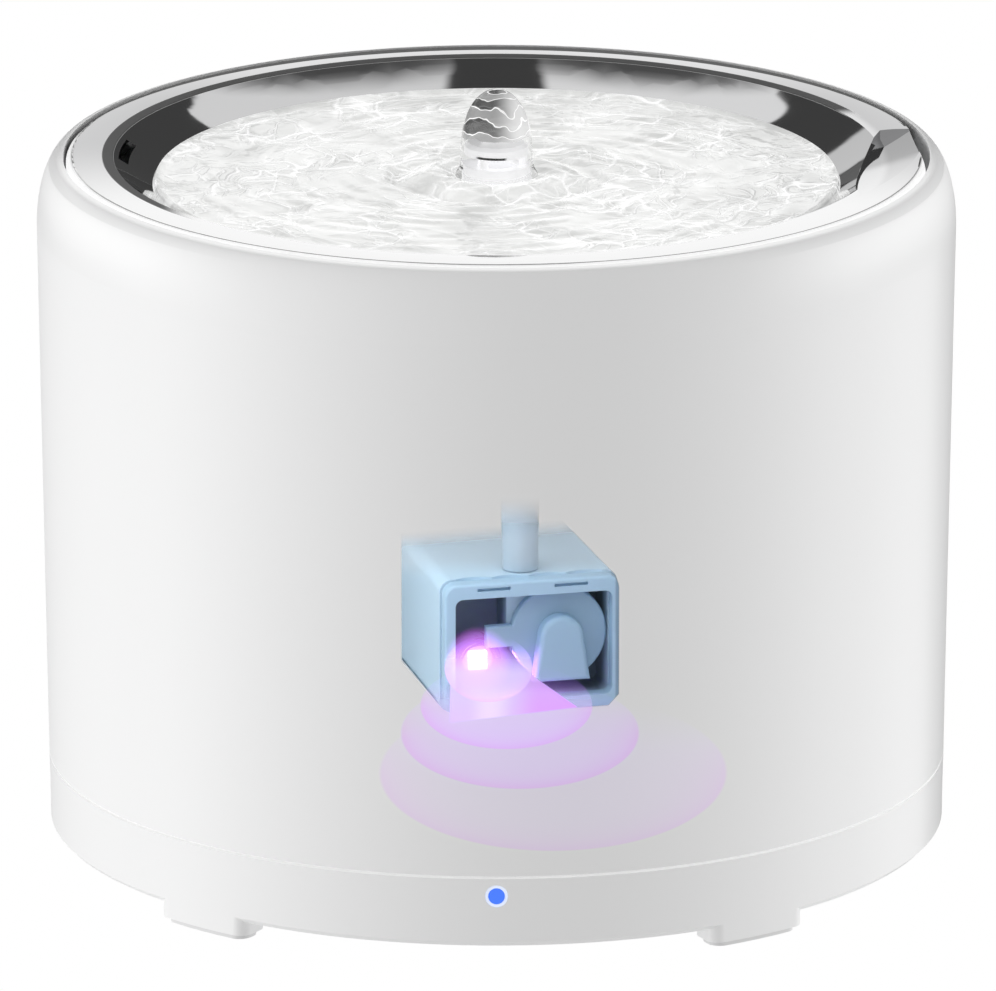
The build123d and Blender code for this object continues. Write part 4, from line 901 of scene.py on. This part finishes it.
def make_water():
    """Water in the dish: a rippled top and a bottom that follows the steel."""
    mesh = bmesh.new()
    rows = []
    for row in range(SURFACE_RINGS + 1):
        radius = WATER_HOLE + (WATER_RADIUS - WATER_HOLE) * row / SURFACE_RINGS
        heights = [WATER_LEVEL + ripple(radius, angle) for angle in angles(WATER_PARTS)]
        rows.append(make_ring(mesh, radius, heights))
    reach = WATER_RADIUS - UNDERSIDE_INSET - WATER_HOLE
    for row in range(UNDERSIDE_RINGS, -1, -1):
        radius = WATER_HOLE + reach * row / UNDERSIDE_RINGS
        height = dish_height(radius) + UNDERSIDE_GAP
        height += UNDERSIDE_RISE * (1 - row / UNDERSIDE_RINGS)
        rows.append(make_ring(mesh, radius, [height] * WATER_PARTS))
    for first, second in zip(rows, rows[1:] + rows[:1]):
        join_rings(mesh, first, second)
    return finish_mesh(mesh, "water_pool", water_material())


def lathe(name, profile, material, parts=96):
    """A closed turned shape from (radius, height) points, first and last on the axis."""
    mesh = bmesh.new()
    rows = []
    for radius, height in profile:
        if radius == 0:
            rows.append([mesh.verts.new((0, 0, height))])
        else:
            rows.append(make_ring(mesh, radius, [height] * parts))
    for first, second in zip(rows, rows[1:]):
        join_rings(mesh, first, second)
    return finish_mesh(mesh, name, material)


def make_dome():
    """Egg of clear water that wells up round the nozzle and flares into the pool."""
    low = WATER_LEVEL + DOME_FOOT_RISE
    waist = NOZZLE_TOP - DOME_WAIST_DROP
    high = NOZZLE_TOP + DOME_RISE
    profile = [(0, high)]
    for step in range(1, DOME_STEPS + 1):
        rise = math.cos(math.radians(90 * step / DOME_STEPS))
        radius = DOME_RADIUS * math.sqrt(1 - rise**DOME_FULLNESS)
        profile.append((radius, waist + (high - waist) * rise))
    for step in range(1, FLARE_STEPS + 1):
        share = step / FLARE_STEPS
        radius = DOME_RADIUS + DOME_FLARE * share**3
        profile.append((radius, waist + (low - waist) * share))
    profile.append((0, low))
    return lathe("water_dome", profile, dome_material())


# ---------------------------------------------------------------- studio
# Light panels on the back wall, seen by mirrors: degrees right of straight back from and to,
# degrees up from and to, corner, soft edge and brightness
WALL_PANELS = [
    (-5.5, 5.5, -4.0, 25.5, 1.5, 1.2, 1.24),
    (-42.0, -3.0, 11.5, 20.5, 2.5, 1.5, 0.85),
    (-19.0, -0.5, -14.0, 9.5, 3.0, 2.0, 0.17),
    (-70.0, -5.0, -26.0, -14.5, 1.0, 1.0, 0.7),
    (35.0, 70.0, -26.0, -14.5, 1.0, 1.0, 1.0),
]
# The same on the ceiling: across and back from and to, in units of the ceiling's height
CEILING_PANELS = [
    (0.108, 0.69, -0.4, 1.23, 0.12, 0.03, 1.05),
    (-0.64, -0.108, -0.4, 1.09, 0.12, 0.03, 1.15),
]
# The dark wall: degrees to either side of straight back, and its foot in degrees
ROOM_DARK = 0.075
WALL_HALF = (85.0, 65.0)
WALL_FOOT = (-27.0, -25.0)
# The ceiling's light fades in behind a slanting line on either side, and mirrors meet no
# ceiling lower than its end
CEILING_SLOPE = -0.826
CEILING_FADE = (0.02, 0.28, 0.9)
CEILING_LEAST = 0.1
CEILING_END = 0.05
# Soft light from both sides: how the line between them is turned, and its strength as powers of
# the squared cosine to that line
SIDE_TURN = math.radians(10)
SIDE_LIGHT = 5.9
FLANK_DIP = -2.74
ROOM_LIGHT = 0.746

# Lights in the tank, on the pump behind the front: name, place, aim, size and power
TANK_LIGHTS = [
    ("pump_light", (0.005, -0.072, 0.062), (0.003, 0, 0.042), (0.05, 0.03), 0.0008),
    ("pump_side_light", (-0.060, -0.035, 0.085), (0, 0, 0.045), (0.05, 0.05), 0.025),
    ("tank_light", (0, -0.02, 0.098), (0, 0, 0.03), (0.1, 0.1), 0.034),
]
VIOLET = (1.0, 0.2, 1.0)
VIOLET_OFFSET = Vector((0.004, -0.003, 0.001))
VIOLET_AIM = Vector((0.014, -0.006, -0.02))
VIOLET_SIZE = (0.006, 0.006)
VIOLET_POWER = 0.003

FLOOR_REACH = 6.0
FLOOR_DROP = 0.0002


def rounded_box(tree, east, north, left, right, low, high, corner, edge):
    """1 inside a rounded rectangle, 0 outside it, with a soft edge."""
    half_wide = (right - left) / 2 - corner
    half_high = (high - low) / 2 - corner
    past_x = tree.absolute(tree.math("SUBTRACT", east, (left + right) / 2))
    past_y = tree.absolute(tree.math("SUBTRACT", north, (low + high) / 2))
    past_x = tree.math("MAXIMUM", tree.math("SUBTRACT", past_x, half_wide), 0.0)
    past_y = tree.math("MAXIMUM", tree.math("SUBTRACT", past_y, half_high), 0.0)
    past = tree.math("ADD", tree.product(past_x, past_x), tree.product(past_y, past_y))
    return tree.smooth(tree.math("SQRT", past), corner + edge, corner)


def mirror_room(tree, direction):
    """Brightness that a mirror meets: a white room, a dark back wall and light panels on it."""
    parts = tree.node("ShaderNodeSeparateXYZ", Vector=direction).outputs
    to_degrees = math.degrees(1.0)
    azimuth = tree.product(tree.math("ARCTAN2", parts["X"], parts["Y"]), to_degrees)
    elevation = tree.product(tree.math("ARCSINE", parts["Z"]), to_degrees)
    back = tree.smooth(tree.absolute(azimuth), *WALL_HALF)
    back = tree.product(back, tree.smooth(elevation, *WALL_FOOT))
    level = tree.math("MULTIPLY_ADD", back, ROOM_DARK - 1.0, 1.0)
    for *edges, bright in WALL_PANELS:
        inside = rounded_box(tree, azimuth, elevation, *edges)
        level = tree.largest(level, tree.product(inside, bright))
    above = tree.math("MAXIMUM", parts["Z"], CEILING_END)
    across = tree.math("DIVIDE", parts["X"], above)
    behind = tree.math("DIVIDE", parts["Y"], above)
    slope = tree.math("MULTIPLY_ADD", tree.absolute(across), CEILING_SLOPE, behind)
    fade = tree.math("ADD", tree.smooth(slope, *CEILING_FADE), CEILING_LEAST)
    for *edges, bright in CEILING_PANELS:
        inside = tree.product(rounded_box(tree, across, behind, *edges), fade)
        level = tree.largest(level, tree.product(inside, bright))
    return level


def side_light(tree, direction):
    """Brightness of the soft light from both sides."""
    along = (math.cos(SIDE_TURN), math.sin(SIDE_TURN), 0.0)
    side = tree.vector("DOT_PRODUCT", direction, along)
    square = tree.product(side, side)
    steep = tree.math("MULTIPLY_ADD", square, SIDE_LIGHT, FLANK_DIP)
    return tree.math("MULTIPLY_ADD", square, steep, ROOM_LIGHT)


def make_world():
    """Soft light from the sides on plastic, the panelled room in mirrors, white for the eye."""
    world = bpy.data.worlds.new("studio")
    bpy.context.scene.world = world
    tree = Tree(world, "ShaderNodeOutputWorld")
    direction = tree.node("ShaderNodeTexCoord").outputs["Generated"]
    soft = side_light(tree, direction)
    room = mirror_room(tree, direction)
    path = tree.node("ShaderNodeLightPath").outputs
    mirrored = tree.largest(path["Is Glossy Ray"], path["Is Transmission Ray"])
    level = tree.math("MULTIPLY_ADD", tree.math("SUBTRACT", room, soft), mirrored, soft)
    lit = tree.node("ShaderNodeBackground", Strength=level).outputs[0]
    plain = tree.node("ShaderNodeBackground", Color=WHITE, Strength=1.0).outputs[0]
    tree.done(tree.mix_shaders(path["Is Camera Ray"], lit, plain))


def make_floor():
    """Plain white floor that only the eye meets."""
    mesh = bmesh.new()
    corners = []
    for x, y in ((-1, -1), (1, -1), (1, 1), (-1, 1)):
        corners.append(mesh.verts.new((x * FLOOR_REACH, y * FLOOR_REACH, -FLOOR_DROP)))
    mesh.faces.new(corners)
    look = Look("pale_floor")
    floor = finish_mesh(mesh, "floor", look.done(look.emission(WHITE, 1.0)), smooth=False)
    floor.visible_diffuse = False
    floor.visible_glossy = False
    floor.visible_shadow = False


def area_light(name, place, aim, size, power, tint=(1, 1, 1)):
    """A light that shows only on what it lights."""
    data = bpy.data.lights.new(name, "AREA")
    data.shape = "RECTANGLE"
    data.size, data.size_y = size
    data.energy = power
    data.color = tint
    lamp = bpy.data.objects.new(name, data)
    bpy.context.scene.collection.objects.link(lamp)
    lamp.location = place
    lamp.rotation_euler = (Vector(aim) - Vector(place)).to_track_quat("-Z", "Y").to_euler()
    lamp.visible_camera = False
    lamp.visible_glossy = False
    lamp.visible_transmission = False


def make_lights():
    for name, place, aim, size, power in TANK_LIGHTS:
        area_light(name, place, aim, size, power)
    lamp = (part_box("uv_lamp")[0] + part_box("uv_lamp")[1]) / 2
    place = lamp + VIOLET_OFFSET
    area_light("violet_light", place, lamp + VIOLET_AIM, VIOLET_SIZE, VIOLET_POWER, VIOLET)


def make_camera():
    data = bpy.data.cameras.new("camera")
    data.lens = CAMERA_LENS
    data.sensor_width = 36
    data.clip_start = 0.1
    data.clip_end = 30
    data.shift_x, data.shift_y = CAMERA_SHIFT
    camera = bpy.data.objects.new("camera", data)
    bpy.context.scene.collection.objects.link(camera)
    direction = Vector((0, -math.cos(VIEW_RISE), math.sin(VIEW_RISE)))
    camera.location = TARGET + direction * CAMERA_DISTANCE
    camera.rotation_euler = (-direction).to_track_quat("-Z", "Y").to_euler()
    bpy.context.scene.camera = camera


def main():
    bpy.context.scene.view_settings.view_transform = "Standard"
    dress_frame()
    for piece in (make_water(), make_dome()):
        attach(piece, "drinking_tray")
    make_world()
    make_floor()
    make_lights()
    make_camera()


main()
